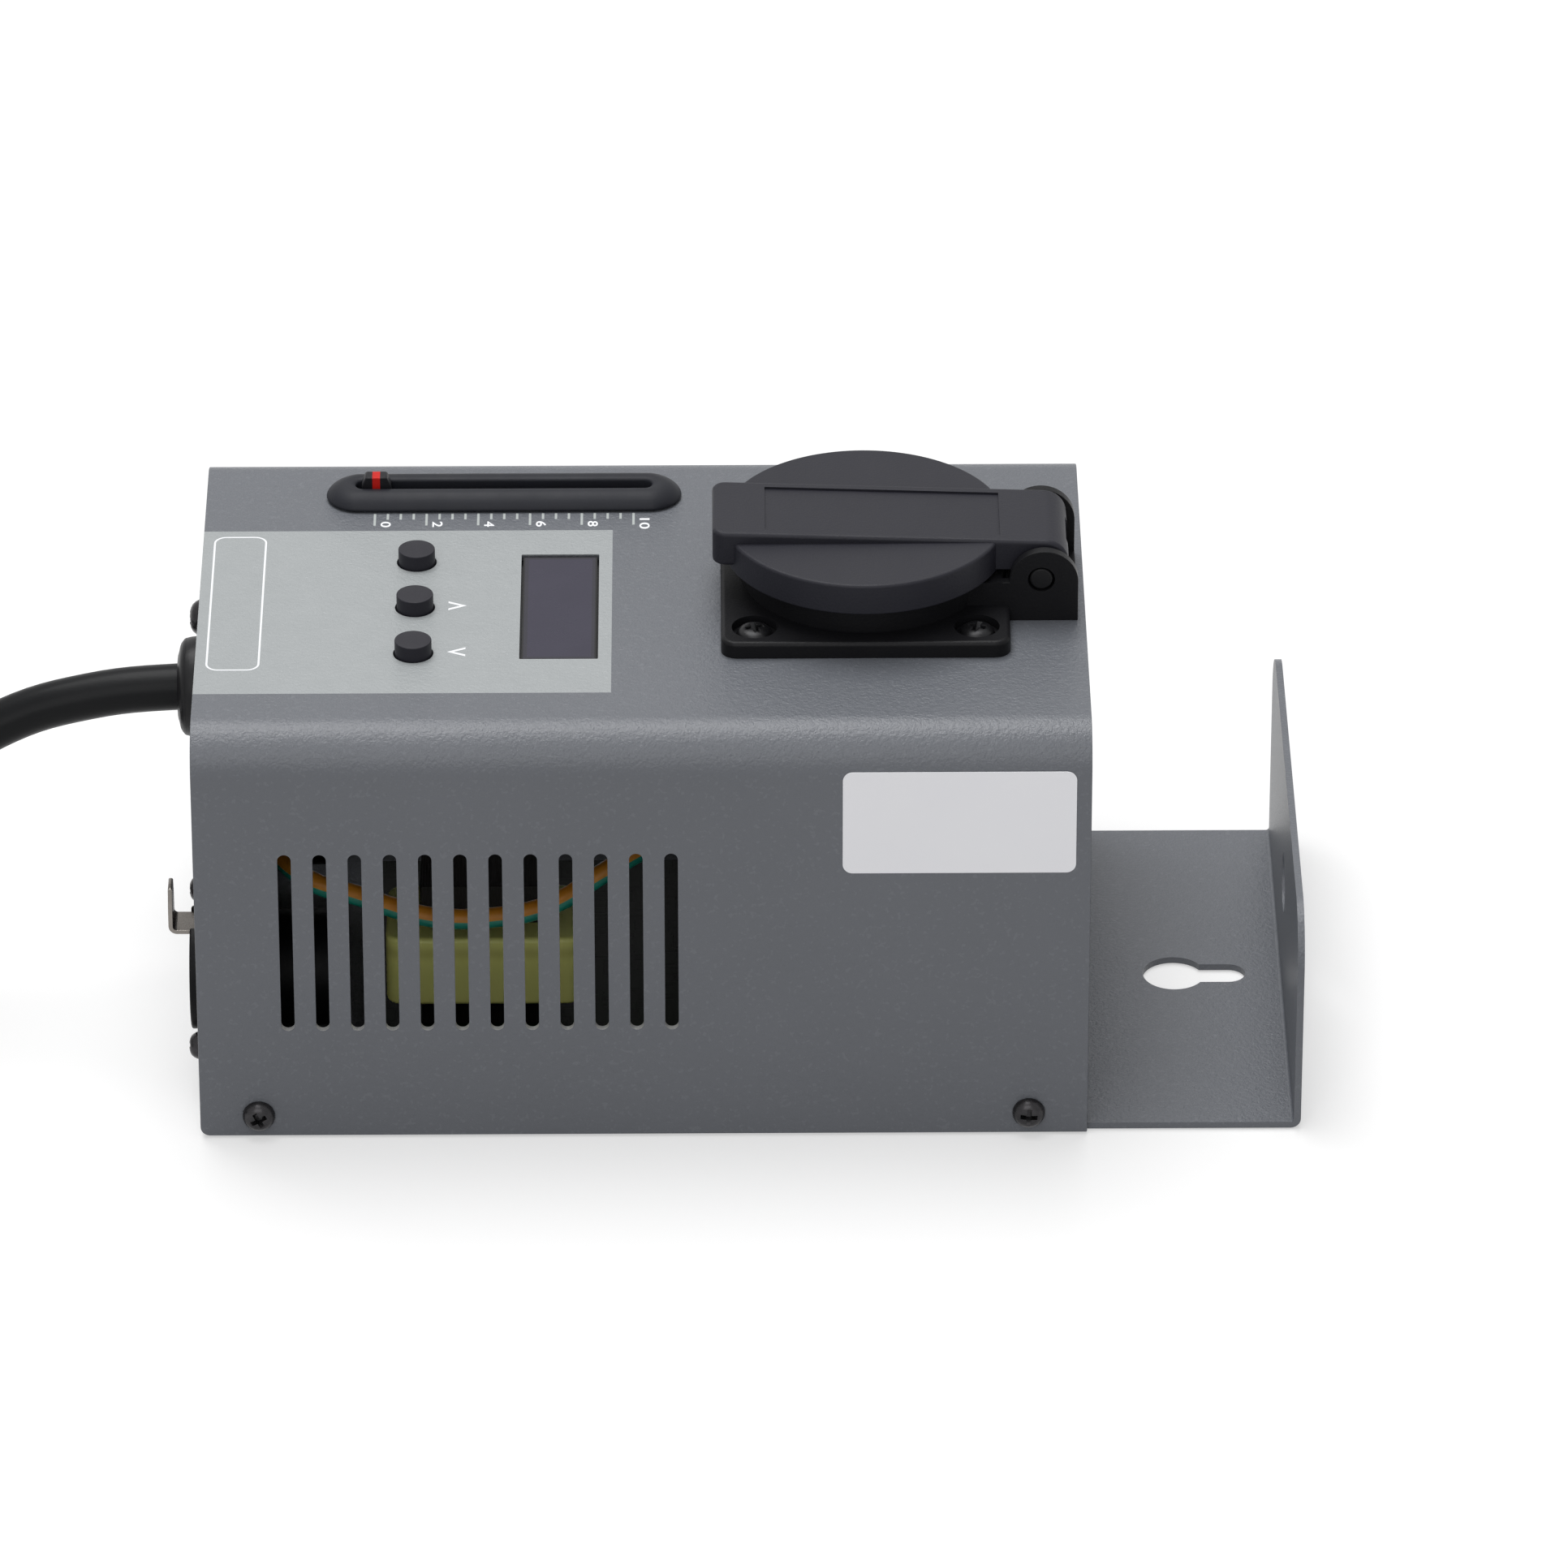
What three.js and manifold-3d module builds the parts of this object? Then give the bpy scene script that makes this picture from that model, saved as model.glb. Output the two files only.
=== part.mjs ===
// Single-channel dimmer pack with a hinged-lid mains outlet, in millimetres, +Z up.
// Origin: centre of the case's footprint, on the surface it stands on. +X runs towards the hanging bracket,
// +Y away from the front with the vents.
import * as THREE from 'three';
import { mergeVertices } from 'three/addons/utils/BufferGeometryUtils.js';
import loadManifold from 'manifold-3d';

const wasm = await loadManifold();
wasm.setup();
const { Manifold, Mesh: SolidMesh } = wasm;

// Case and sheet metal
const caseLength = 154;
const caseWidth = 103;
const caseHeight = 79.5;
const sheet = 1.2;
const coverBend = 8;
const chassisBend = 1.8;
const fit = 0.3;
const overrun = 1;
const bracketReach = 37.2;
const flangeHeight = 41;
const flangeCorner = 10;
const flangeHoleRadius = 5.25;
const flangeHoleHeight = 20;
const keyhole = { fromCase: 16.9, radius: 5.5, slotRadius: 3, slotReach: 9.7 };
const lip = { height: 10, inset: 2.2 };
const vent = { count: 12, fromLeft: 15.65, pitch: 6.03, width: 2.35, height: 35.3, bottom: 21.5 };
const label = { fromRight: 2.6, fromTop: 6.75, length: 40, height: 19.95, corner: 1.7, thickness: 0.15 };
const endPlate = { inset: 0.4, foot: 9 };

// Screws: head radius, head height, shank radius and shank length
const caseScrew = { head: 2.85, rise: 2, shank: 1.5, reach: 6, fromEnd: 10.2, height: 4.4 };
const outletScrew = { head: 3.2, rise: 1.7, shank: 1.5, reach: 8 };
const dataScrew = { head: 2.5, rise: 1.5, shank: 1.2, reach: 5.2 };
const groundScrew = { head: 3.5, rise: 3.1, shank: 2, reach: 12 };
const crossRecess = { lengthShare: 0.62, widthShare: 0.17, depthShare: 0.55 };

// Outlet
const outletFromRight = 38.3;
const outletBehindMiddle = 1;
const outlet = {
  flange: 50, flangeRise: 3, flangeCorner: 2.8, screwSpan: 38.4, counterbore: 3.95, counterboreDepth: 1.6,
  collar: 21.4, collarRise: 8, well: 19.75, wellDepth: 17.6, cup: 21.75, cupDepth: 24, cupFloor: 2,
  wireHole: 5.5, blockHalf: 12, blockRise: 7.5,
};
const hinge = {
  fromOutlet: 30.5, rise: 8.1, ear: 5.95, earShift: 0.45, earDrop: 0.5, earThickness: 1.8, pin: 2, web: 1.6,
  knuckle: 4.8, sweep: 6.8, nest: 0.35,
};
const lid = {
  radius: 24.55, bottom: 8.3, top: 14, barHalf: 9.5, barFrom: 26.4, barTop: 16.15, barTopAtHinge: 14.1,
  armFrom: 22.4, armBottom: 8.8,
  noseLength: 4.2, noseBottom: 9.6, noseCorner: 1.2, heelCorner: 4, sink: 1, trimFrom: 17.3, trimTo: -23.4,
  trimHalf: 7.6, trimDepth: 0.4, pocketHalf: 4, pocketRise: 3.6,
};
const gasket = { outer: 22.2, inner: 15.5, thickness: 1.9 };
const spring = { wire: 0.4, radius: 3, curls: 5, pitch: 1.25 };
const contact = { spacing: 19, hole: 2.6, sleeve: 3.1, wall: 0.6, length: 8.5, face: 1.5 };
const earthClip = { radius: 18.9, thickness: 0.8, width: 5, foot: 3, rise: 12, nose: 1.6 };

// Fader
const faderFromLeft = 52.55;
const faderFromBack = 17.4;
const fader = {
  travel: 45, bezelHalf: 31.4, bezelRadius: 6, rise: 2.9, slotHalf: 26.6, slotRadius: 2.35, panelSlotGrowth: 0.4,
  knobHalf: 2.6, knobTopHalf: 1.9, knobDepthHalf: 1.95, knobRise: 4.6, knobCap: 3.7, stemHalf: 0.7, stemReach: 6,
  bodyHalf: 30, bodyWidthHalf: 4.2, bodyDepth: 8, bodySlotHalf: 0.6, stemWidthHalf: 1.6,
};

// Controls, placed along the run from the connector panel to the outlet's flange
const button = {
  alongShare: 0.4146, beforeMiddle: 5.5, pitch: 16.1, count: 3, radius: 3.2, rise: 2.7, rim: 4.2, rimThickness: 1,
  travel: 0.5, stem: 1.5, stemDepth: 2.4, hole: 3.5,
};
const display = {
  alongShare: 0.6913, beforeMiddle: 5.3, length: 13.6, width: 37, sink: 0.3, border: 1.2, borderThickness: 0.8,
  moduleLength: 12.4, moduleWidth: 34,
};
const controlBoard = {
  fromShare: 0.2646, toShare: 0.882, beforeMiddle: 35.5, behindMiddle: 21.5, thickness: 1.6, drop: 12.2, pillar: 2.5,
};
const pillarInset = 5;
const keySwitch = { half: 3, height: 5.6, wellRadius: 1.8 };

// Power side
const powerBoard = { fromLeft: 28, fromRight: 26, fromFront: 12, backMargin: 5, thickness: 1.6, bottom: 7.2 };
const choke = {
  fromLeft: 49.2, beforeMiddle: 28.3, stack: 22, limb: 7, window: 8, yoke: 6.9, windingLength: 34, windingWall: 6,
  windingHeight: 13.4, windingCorner: 1.5,
};
const heatSink = {
  beforeOutlet: 23.7, length: 34, behindMiddle: 7.5, base: 3, finDepth: 12, fin: 1.6, fins: 6, height: 30,
};
const triac = { width: 10, height: 15.5, thickness: 4.4, bottom: 8 };
const terminals = { beforeOutlet: 3.7, beforeMiddle: 28.5, length: 12, width: 26, height: 11, step: 4, pitch: 8 };
const capacitor = { alongShare: 0.5266, beforeMiddle: 28.5, length: 12, width: 22, height: 17 };

// Connector panel
const gland = { fromTop: 18.8, head: 8.8, headRise: 4.2, shank: 6.05, shankReach: 9, round: 1.6 };
const groundStudFromBack = 27;
const groundNut = { radius: 3.9, height: 3.2 };
const fuse = {
  fromBack: 13.7, underFader: 19.2, ring: 7, ringRise: 1.2, barrel: 5.6, barrelLength: 32, bore: 3.6, cap: 5.2, capRise: 1.3,
  plug: 3.2, plugLength: 8, floor: 2.2, slotHalf: 0.6, slotDepth: 0.8,
};
const data = {
  fromEnd: 24, height: 20, nose: 10.75, noseRise: 1.9, flangeWidth: 25, flangeHeight: 29, flangeThickness: 2.5, flangeCorner: 3,
  body: 10.2, bodyLength: 20, screwAcross: 8.5, screwUp: 10.8, groove: 9.4, core: 7.3, grooveDepth: 15,
  pin: 1.2, pinCircle: 4.76, pinLength: 12, holeDepth: 10,
};
const latch = {
  half: 3.2, thickness: 0.8, above: 8.6, reach: 5.6, tab: 8.4, inside: 7, slotHalf: 3.7, slotFrom: 7.4, slotDepth: 12,
};

const underGland = [{ fromPanel: 8, y: 8, below: 8.7 }, { fromPanel: 10.5, y: -14, below: 13.1 }];
const wire = {
  earth: 1.8, power: 1.3, gap: 0.4, spread: 2.4, earthSpread: 2.5, bow: 1, rise: 7, sway: 2.1,
  midAlongShare: 0.32, midUpShare: 0.65,
};

// Mains lead and plug
const cordRadius = 4.1;
const coil = { x: -186, y: 29, outer: 54, loops: 4.75, pitch: 8.8, stepsPerLoop: 24, sides: 6 };
const plug = {
  sleeve: 6.2, sleeveLength: 16, body: 18.6, shoulder: 13, shoulderLength: 8, bodyLength: 26, face: 16.5,
  faceLength: 2, pin: 2.4, pinLength: 19, pinSpacing: 19,
};

const left = -caseLength / 2;
const right = caseLength / 2;
const front = -caseWidth / 2;
const back = caseWidth / 2;
const top = caseHeight;
const underTop = top - sheet;
const insideHalf = caseWidth / 2 - sheet - fit;
const outletX = right - outletFromRight;
const outletY = outletBehindMiddle;
const pinX = outletX + hinge.fromOutlet;
const pinZ = top + hinge.rise;
const faderX = left + faderFromLeft;
const faderY = back - faderFromBack;
const controlRun = outletX - outlet.flange / 2 - left;
const buttonX = left + button.alongShare * controlRun;
const displayX = left + display.alongShare * controlRun;
const displayY = -display.beforeMiddle;
const controlTop = top - controlBoard.drop;
const powerTop = powerBoard.bottom + powerBoard.thickness;
const boardEdges = {
  control: [
    left + controlBoard.fromShare * controlRun, left + controlBoard.toShare * controlRun, -controlBoard.beforeMiddle,
    controlBoard.behindMiddle,
  ],
  power: [
    left + powerBoard.fromLeft, right - powerBoard.fromRight, front + powerBoard.fromFront,
    heatSink.behindMiddle + heatSink.base + heatSink.finDepth + powerBoard.backMargin,
  ],
};
const chokeX = left + choke.fromLeft;
const heatSinkX = outletX - heatSink.beforeOutlet;
const terminalsX = outletX - terminals.beforeOutlet;
const dataY = [front + data.fromEnd, back - data.fromEnd];
const glandHeight = top - gland.fromTop;
const groundY = back - groundStudFromBack;
const fuseY = back - fuse.fromBack;
const fuseHeight = underTop - fader.bodyDepth - fuse.underFader - fuse.barrel;
const flangeFace = right + bracketReach;
const plugAxisHeight = plug.body;

const arcSteps = 4;
const fineSides = 32;
const sides = 20;
const smallSides = 10;

// Drawing planes: the outline's two directions and the direction of its thickness
const planes = {
  flat: new THREE.Matrix4(),
  long: new THREE.Matrix4().makeBasis(
    new THREE.Vector3(1, 0, 0), new THREE.Vector3(0, 0, 1), new THREE.Vector3(0, -1, 0),
  ),
  cross: new THREE.Matrix4().makeBasis(
    new THREE.Vector3(0, 1, 0), new THREE.Vector3(0, 0, 1), new THREE.Vector3(1, 0, 0),
  ),
};

// A plate drawn as an outline in one plane (flat: X, Y; long: X, Z; cross: Y, Z) and thick from one place to another.
function plate(outline, plane, from, to) {
  const geometry = new THREE.ExtrudeGeometry(new THREE.Shape(outline), { depth: to - from, bevelEnabled: false });
  geometry.applyMatrix4(planes[plane]);
  if (plane === 'long') return geometry.translate(0, to, 0);
  if (plane === 'cross') return geometry.translate(from, 0, 0);
  return geometry.translate(0, 0, from);
}

// Corners given as [x, y, radius], with each rounded corner drawn as an arc.
function rounded(corners, steps = arcSteps) {
  const points = corners.map(([x, y]) => new THREE.Vector2(x, y));
  return corners.flatMap(([, , radius = 0], i) => {
    const corner = points[i];
    if (radius <= 0) return [corner];
    const before = points.at(i - 1).clone().sub(corner).normalize();
    const after = points[(i + 1) % points.length].clone().sub(corner).normalize();
    const half = Math.acos(before.dot(after)) / 2;
    const reach = radius / Math.tan(half);
    const middle = before.clone().add(after).normalize().multiplyScalar(radius / Math.sin(half)).add(corner);
    const start = before.clone().multiplyScalar(reach).add(corner).sub(middle).angle();
    const turn = after.clone().multiplyScalar(reach).add(corner).sub(middle).angle() - start;
    const sweep = Math.atan2(Math.sin(turn), Math.cos(turn));
    return Array.from({ length: steps + 1 }, (_, k) => onCircle(middle, radius, start + (sweep * k) / steps));
  });
}

function onCircle(middle, radius, angle) {
  return new THREE.Vector2(middle.x + radius * Math.cos(angle), middle.y + radius * Math.sin(angle));
}

function rectangle(x0, x1, y0, y1, corner = 0) {
  return rounded([[x0, y0, corner], [x1, y0, corner], [x1, y1, corner], [x0, y1, corner]]);
}

function circle(x, y, radius, count = sides) {
  const middle = new THREE.Vector2(x, y);
  return Array.from({ length: count }, (_, k) => onCircle(middle, radius, (2 * Math.PI * k) / count));
}

// A slot with round ends, whole length 2 * half, running along the first direction or turned a quarter.
function slot(x, y, half, radius, turned = false, steps = arcSteps) {
  const run = half - radius;
  const end = (side) => Array.from({ length: steps + 1 }, (_, k) => {
    const point = onCircle(new THREE.Vector2(run, 0), radius, Math.PI * (k / steps - 1 / 2));
    return point.multiplyScalar(side);
  });
  const points = [...end(1), ...end(-1)];
  return points.map((point) => (turned ? new THREE.Vector2(x - point.y, y + point.x)
    : new THREE.Vector2(x + point.x, y + point.y)));
}

function toSolid(geometry) {
  const bare = geometry.clone();
  bare.deleteAttribute('normal');
  bare.deleteAttribute('uv');
  const merged = mergeVertices(bare);
  return new Manifold(new SolidMesh({
    numProp: 3,
    vertProperties: merged.attributes.position.array,
    triVerts: new Uint32Array(merged.index.array),
  }));
}

function toGeometry(solid) {
  const mesh = solid.getMesh();
  const geometry = new THREE.BufferGeometry();
  geometry.setAttribute('position', new THREE.BufferAttribute(mesh.vertProperties, mesh.numProp));
  geometry.setIndex(new THREE.BufferAttribute(mesh.triVerts, 1));
  return geometry;
}

function joined(...geometries) {
  return toGeometry(geometries.map(toSolid).reduce((whole, piece) => whole.add(piece)));
}

function cut(body, ...tools) {
  return toGeometry(tools.map(toSolid).reduce((whole, tool) => whole.subtract(tool), toSolid(body)));
}

// A solid of revolution about Z from [radius, height] points.
function turnedSolid(profile, count = sides) {
  const points = profile.map(([radius, height]) => new THREE.Vector2(radius, height));
  return new THREE.LatheGeometry(points, count).rotateX(Math.PI / 2);
}

// Skin over rings of points with the same count: closed on itself, or capped at both ends.
function skin(rings, closed) {
  const count = rings[0].length;
  const index = [];
  const lastRing = closed ? rings.length : rings.length - 1;
  for (let i = 0; i < lastRing; i += 1) {
    for (let j = 0; j < count; j += 1) {
      const here = i * count;
      const next = ((i + 1) % rings.length) * count;
      const beside = (j + 1) % count;
      index.push(here + j, next + beside, here + beside, here + j, next + j, next + beside);
    }
  }
  if (!closed) {
    const end = (rings.length - 1) * count;
    for (let j = 1; j < count - 1; j += 1) {
      index.push(0, j, j + 1, end, end + j + 1, end + j);
    }
  }
  const geometry = new THREE.BufferGeometry();
  geometry.setAttribute('position', new THREE.Float32BufferAttribute(rings.flat().flatMap((p) => p.toArray()), 3));
  geometry.setIndex(index);
  return geometry;
}

// Rings of a round section round a path, with one flat kept level.
function ringsAlong(path, radius, count) {
  return path.map((point, i) => {
    const ahead = path[Math.min(i + 1, path.length - 1)];
    const behind = path[Math.max(i - 1, 0)];
    const along = ahead.clone().sub(behind).normalize();
    const across = new THREE.Vector3(0, 0, 1).cross(along).normalize();
    const up = along.clone().cross(across);
    return Array.from({ length: count }, (_, k) => {
      const angle = Math.PI / 2 - (2 * Math.PI * (k + 1 / 2)) / count;
      return point.clone().addScaledVector(across, radius * Math.cos(angle)).addScaledVector(up, radius * Math.sin(angle));
    });
  });
}

// A tube along hand-placed points.
function tube(points, radius, steps, count) {
  const curve = new THREE.CatmullRomCurve3(points.map((p) => new THREE.Vector3(...p)), false, 'centripetal');
  const section = new THREE.Shape(circle(0, 0, radius, count));
  return new THREE.ExtrudeGeometry(section, { steps, extrudePath: curve, bevelEnabled: false });
}

const looks = {
  paint: { color: 0x5d6064, roughness: 0.55, metalness: 0.35 },
  black: { color: 0x17181b, roughness: 0.5, metalness: 0 },
  blackSteel: { color: 0x1c1c1e, roughness: 0.3, metalness: 0.8 },
  steel: { color: 0xb9bbbf, roughness: 0.3, metalness: 1 },
  brass: { color: 0xb9974f, roughness: 0.3, metalness: 1 },
  rubber: { color: 0x1a1b1d, roughness: 0.8, metalness: 0 },
  window: { color: 0x37343f, roughness: 0.15, metalness: 0 },
  board: { color: 0x1f5a33, roughness: 0.5, metalness: 0 },
  tape: { color: 0xa8a13c, roughness: 0.4, metalness: 0 },
  iron: { color: 0x6f7275, roughness: 0.6, metalness: 0.6 },
  aluminium: { color: 0xb4b6b8, roughness: 0.4, metalness: 1 },
  label: { color: 0xe9eaf0, roughness: 0.5, metalness: 0 },
  earth: { color: 0x4f8f3a, roughness: 0.5, metalness: 0 },
  live: { color: 0x6b4226, roughness: 0.5, metalness: 0 },
  neutral: { color: 0x2f5fa8, roughness: 0.5, metalness: 0 },
  film: { color: 0xc9a227, roughness: 0.4, metalness: 0 },
};
const group = new THREE.Group();

function add(name, geometry, look, place = [0, 0, 0], turn = [0, 0, 0]) {
  const mesh = new THREE.Mesh(geometry, new THREE.MeshStandardMaterial(looks[look]));
  mesh.name = name;
  mesh.position.set(...place);
  mesh.rotation.set(...turn);
  group.add(mesh);
}

// Which way a screw's head looks, as turns of a screw that stands on its shank
const headTo = {
  up: [0, 0, 0],
  front: [Math.PI / 2, 0, 0],
  back: [-Math.PI / 2, 0, 0],
  left: [0, -Math.PI / 2, 0],
};

// Pan-head screw with a cross recess, its seat at zero height.
function panScrew({ head, rise, shank, reach }) {
  const roundStart = rise / 2;
  const crown = head / 2;
  const body = turnedSolid(
    [[0, -reach], [shank, -reach], [shank, 0], [head, 0], [head, roundStart], [crown, rise], [0, rise]], smallSides,
  );
  const length = head * crossRecess.lengthShare;
  const width = head * crossRecess.widthShare;
  const bottom = rise * (1 - crossRecess.depthShare);
  const arms = [[length, width], [width, length]];
  return cut(body, ...arms.map(([x, y]) => plate(rectangle(-x, x, -y, y), 'flat', bottom, rise + overrun)));
}

// Case

// What a rounded top corner takes off an upright sheet whose faces are at x0 and x1.
function cornerWaste(side, half, height, radius, x0, x1) {
  const middle = new THREE.Vector2(half - radius, height - radius);
  const arc = Array.from({ length: arcSteps + 1 }, (_, k) => onCircle(middle, radius, (Math.PI / 2) * (k / arcSteps)));
  const far = half + overrun;
  const high = height + overrun;
  const outline = [
    ...arc, new THREE.Vector2(middle.x, high), new THREE.Vector2(far, high), new THREE.Vector2(far, middle.y),
  ];
  const sided = outline.map((point) => new THREE.Vector2(point.x * side, point.y));
  return plate(sided, 'cross', x0 - overrun, x1 + overrun);
}

function makeChassis() {
  const high = underTop - fit;
  const innerBend = chassisBend - sheet;
  const folded = plate(rounded([
    [left, high], [left, 0, chassisBend], [flangeFace, 0, chassisBend], [flangeFace, flangeHeight],
    [flangeFace - sheet, flangeHeight], [flangeFace - sheet, sheet, innerBend], [left + sheet, sheet, innerBend],
    [left + sheet, high],
  ]), 'long', -insideHalf, insideHalf);
  const lips = [-1, 1].map((side) => {
    const outer = side * insideHalf;
    const inner = side * (insideHalf - sheet);
    const outline = rectangle(left + lip.inset, right - lip.inset, 0, lip.height);
    return plate(outline, 'long', Math.min(outer, inner), Math.max(outer, inner));
  });
  const pillars = pillarPlaces(boardEdges.power).map(([x, y]) => {
    return plate(circle(x, y, controlBoard.pillar, smallSides), 'flat', sheet / 2, powerBoard.bottom);
  });
  const panelHole = (y, z, radius, count) => {
    return plate(circle(y, z, radius, count), 'cross', left - overrun, left + sheet + overrun);
  };
  const keyX = right + keyhole.fromCase;
  const slotReach = keyhole.slotReach / 2;
  const tools = [
    ...[-1, 1].flatMap((side) => [
      cornerWaste(side, insideHalf, flangeHeight, flangeCorner, flangeFace - sheet, flangeFace),
      cornerWaste(side, insideHalf, high, coverBend, left, left + sheet),
    ]),
    plate(circle(0, flangeHoleHeight, flangeHoleRadius), 'cross', flangeFace - sheet - overrun, flangeFace + overrun),
    plate(circle(keyX, 0, keyhole.radius), 'flat', -overrun, sheet + overrun),
    plate(
      slot(keyX + slotReach, 0, slotReach + keyhole.slotRadius, keyhole.slotRadius), 'flat', -overrun, sheet + overrun,
    ),
    panelHole(0, glandHeight, gland.shank + fit),
    panelHole(groundY, glandHeight, groundScrew.shank + fit, smallSides),
    panelHole(fuseY, fuseHeight, fuse.barrel + fit),
    ...dataY.map((y) => panelHole(y, data.height, data.nose + fit, fineSides)),
    ...dataScrewPlaces().map(([y, z]) => panelHole(y, z, dataScrew.shank + fit, smallSides)),
    ...coverScrewX().flatMap((x) => [-1, 1].map((side) => {
      const outline = circle(x, caseScrew.height, caseScrew.shank + fit, smallSides);
      return plate(outline, 'long', side * insideHalf - sheet - overrun, side * insideHalf + sheet + overrun);
    })),
  ];
  return cut(joined(folded, ...lips, ...pillars), ...tools);
}

function pillarPlaces([x0, x1, y0, y1]) {
  return [x0 + pillarInset, x1 - pillarInset].flatMap((x) => [[x, y0 + pillarInset], [x, y1 - pillarInset]]);
}

function coverScrewX() {
  return [left + caseScrew.fromEnd, right - caseScrew.fromEnd];
}

function dataScrewPlaces() {
  return dataY.flatMap((y) => [1, -1].map((side) => [y + side * data.screwAcross, data.height + side * data.screwUp]));
}

function outletScrewPlaces() {
  const half = outlet.screwSpan / 2;
  return [[-half, -half], [half, -half], [-half, half], [half, half]].map(([x, y]) => [outletX + x, outletY + y]);
}

function buttonPlaces() {
  const middle = (button.count - 1) / 2;
  return Array.from({ length: button.count }, (_, k) => (k - middle) * button.pitch - button.beforeMiddle);
}

function makeCover() {
  const innerBend = coverBend - sheet;
  const folded = plate(rounded([
    [front, fit], [front, top, coverBend], [back, top, coverBend], [back, fit], [back - sheet, fit],
    [back - sheet, underTop, innerBend], [front + sheet, underTop, innerBend], [front + sheet, fit],
  ]), 'cross', left, right);
  const pillars = pillarPlaces(boardEdges.control).map(([x, y]) => {
    return plate(circle(x, y, controlBoard.pillar, smallSides), 'flat', controlTop, underTop + sheet / 2);
  });
  const throughTop = (outline) => plate(outline, 'flat', underTop - overrun, top + overrun);
  const throughFront = (outline) => plate(outline, 'long', front - overrun, front + sheet + overrun);
  const throughBack = (outline) => plate(outline, 'long', back - sheet - overrun, back + overrun);
  const slots = Array.from({ length: vent.count }, (_, k) => {
    const x = left + vent.fromLeft + k * vent.pitch;
    return slot(x, vent.bottom + vent.height / 2, vent.height / 2, vent.width / 2, true, 3);
  });
  const screws = coverScrewX().map((x) => circle(x, caseScrew.height, caseScrew.shank + fit, smallSides));
  const tools = [
    ...[...slots, ...screws].flatMap((outline) => [throughFront(outline), throughBack(outline)]),
    throughTop(slot(
      faderX, faderY, fader.slotHalf + fader.panelSlotGrowth, fader.slotRadius + fader.panelSlotGrowth,
    )),
    throughTop(circle(outletX, outletY, outlet.cup + fit, fineSides)),
    ...outletScrewPlaces().map(([x, y]) => throughTop(circle(x, y, outletScrew.shank + fit, smallSides))),
    ...buttonPlaces().map((y) => throughTop(circle(buttonX, y, button.hole))),
    throughTop(displayOutline(display.length, display.width)),
  ];
  return cut(joined(folded, ...pillars), ...tools);
}

function makeEndPlate() {
  const outer = right - endPlate.inset;
  const inner = outer - sheet;
  const high = underTop - fit;
  const half = insideHalf - sheet - fit;
  const outline = rounded([
    [outer - endPlate.foot, sheet], [outer, sheet, chassisBend], [outer, high], [inner, high],
    [inner, 2 * sheet, chassisBend - sheet], [outer - endPlate.foot, 2 * sheet],
  ]);
  const corners = [-1, 1].map((side) => cornerWaste(side, half, high, coverBend, inner, outer));
  return cut(plate(outline, 'long', -half, half), ...corners);
}

add('chassis', makeChassis(), 'paint');
add('cover', makeCover(), 'paint');
add('end_plate', makeEndPlate(), 'paint');
coverScrewX().forEach((x, k) => {
  const end = ['left', 'right'][k];
  add(`cover_screw_front_${end}`, panScrew(caseScrew), 'blackSteel', [x, front, caseScrew.height], headTo.front);
  add(`cover_screw_back_${end}`, panScrew(caseScrew), 'blackSteel', [x, back, caseScrew.height], headTo.back);
});
const labelEnd = right - label.fromRight;
const labelTop = top - label.fromTop;
add('front_label', plate(rectangle(
  labelEnd - label.length, labelEnd, labelTop - label.height, labelTop, label.corner,
), 'long', front - label.thickness, front), 'label');

// Outlet

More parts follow.
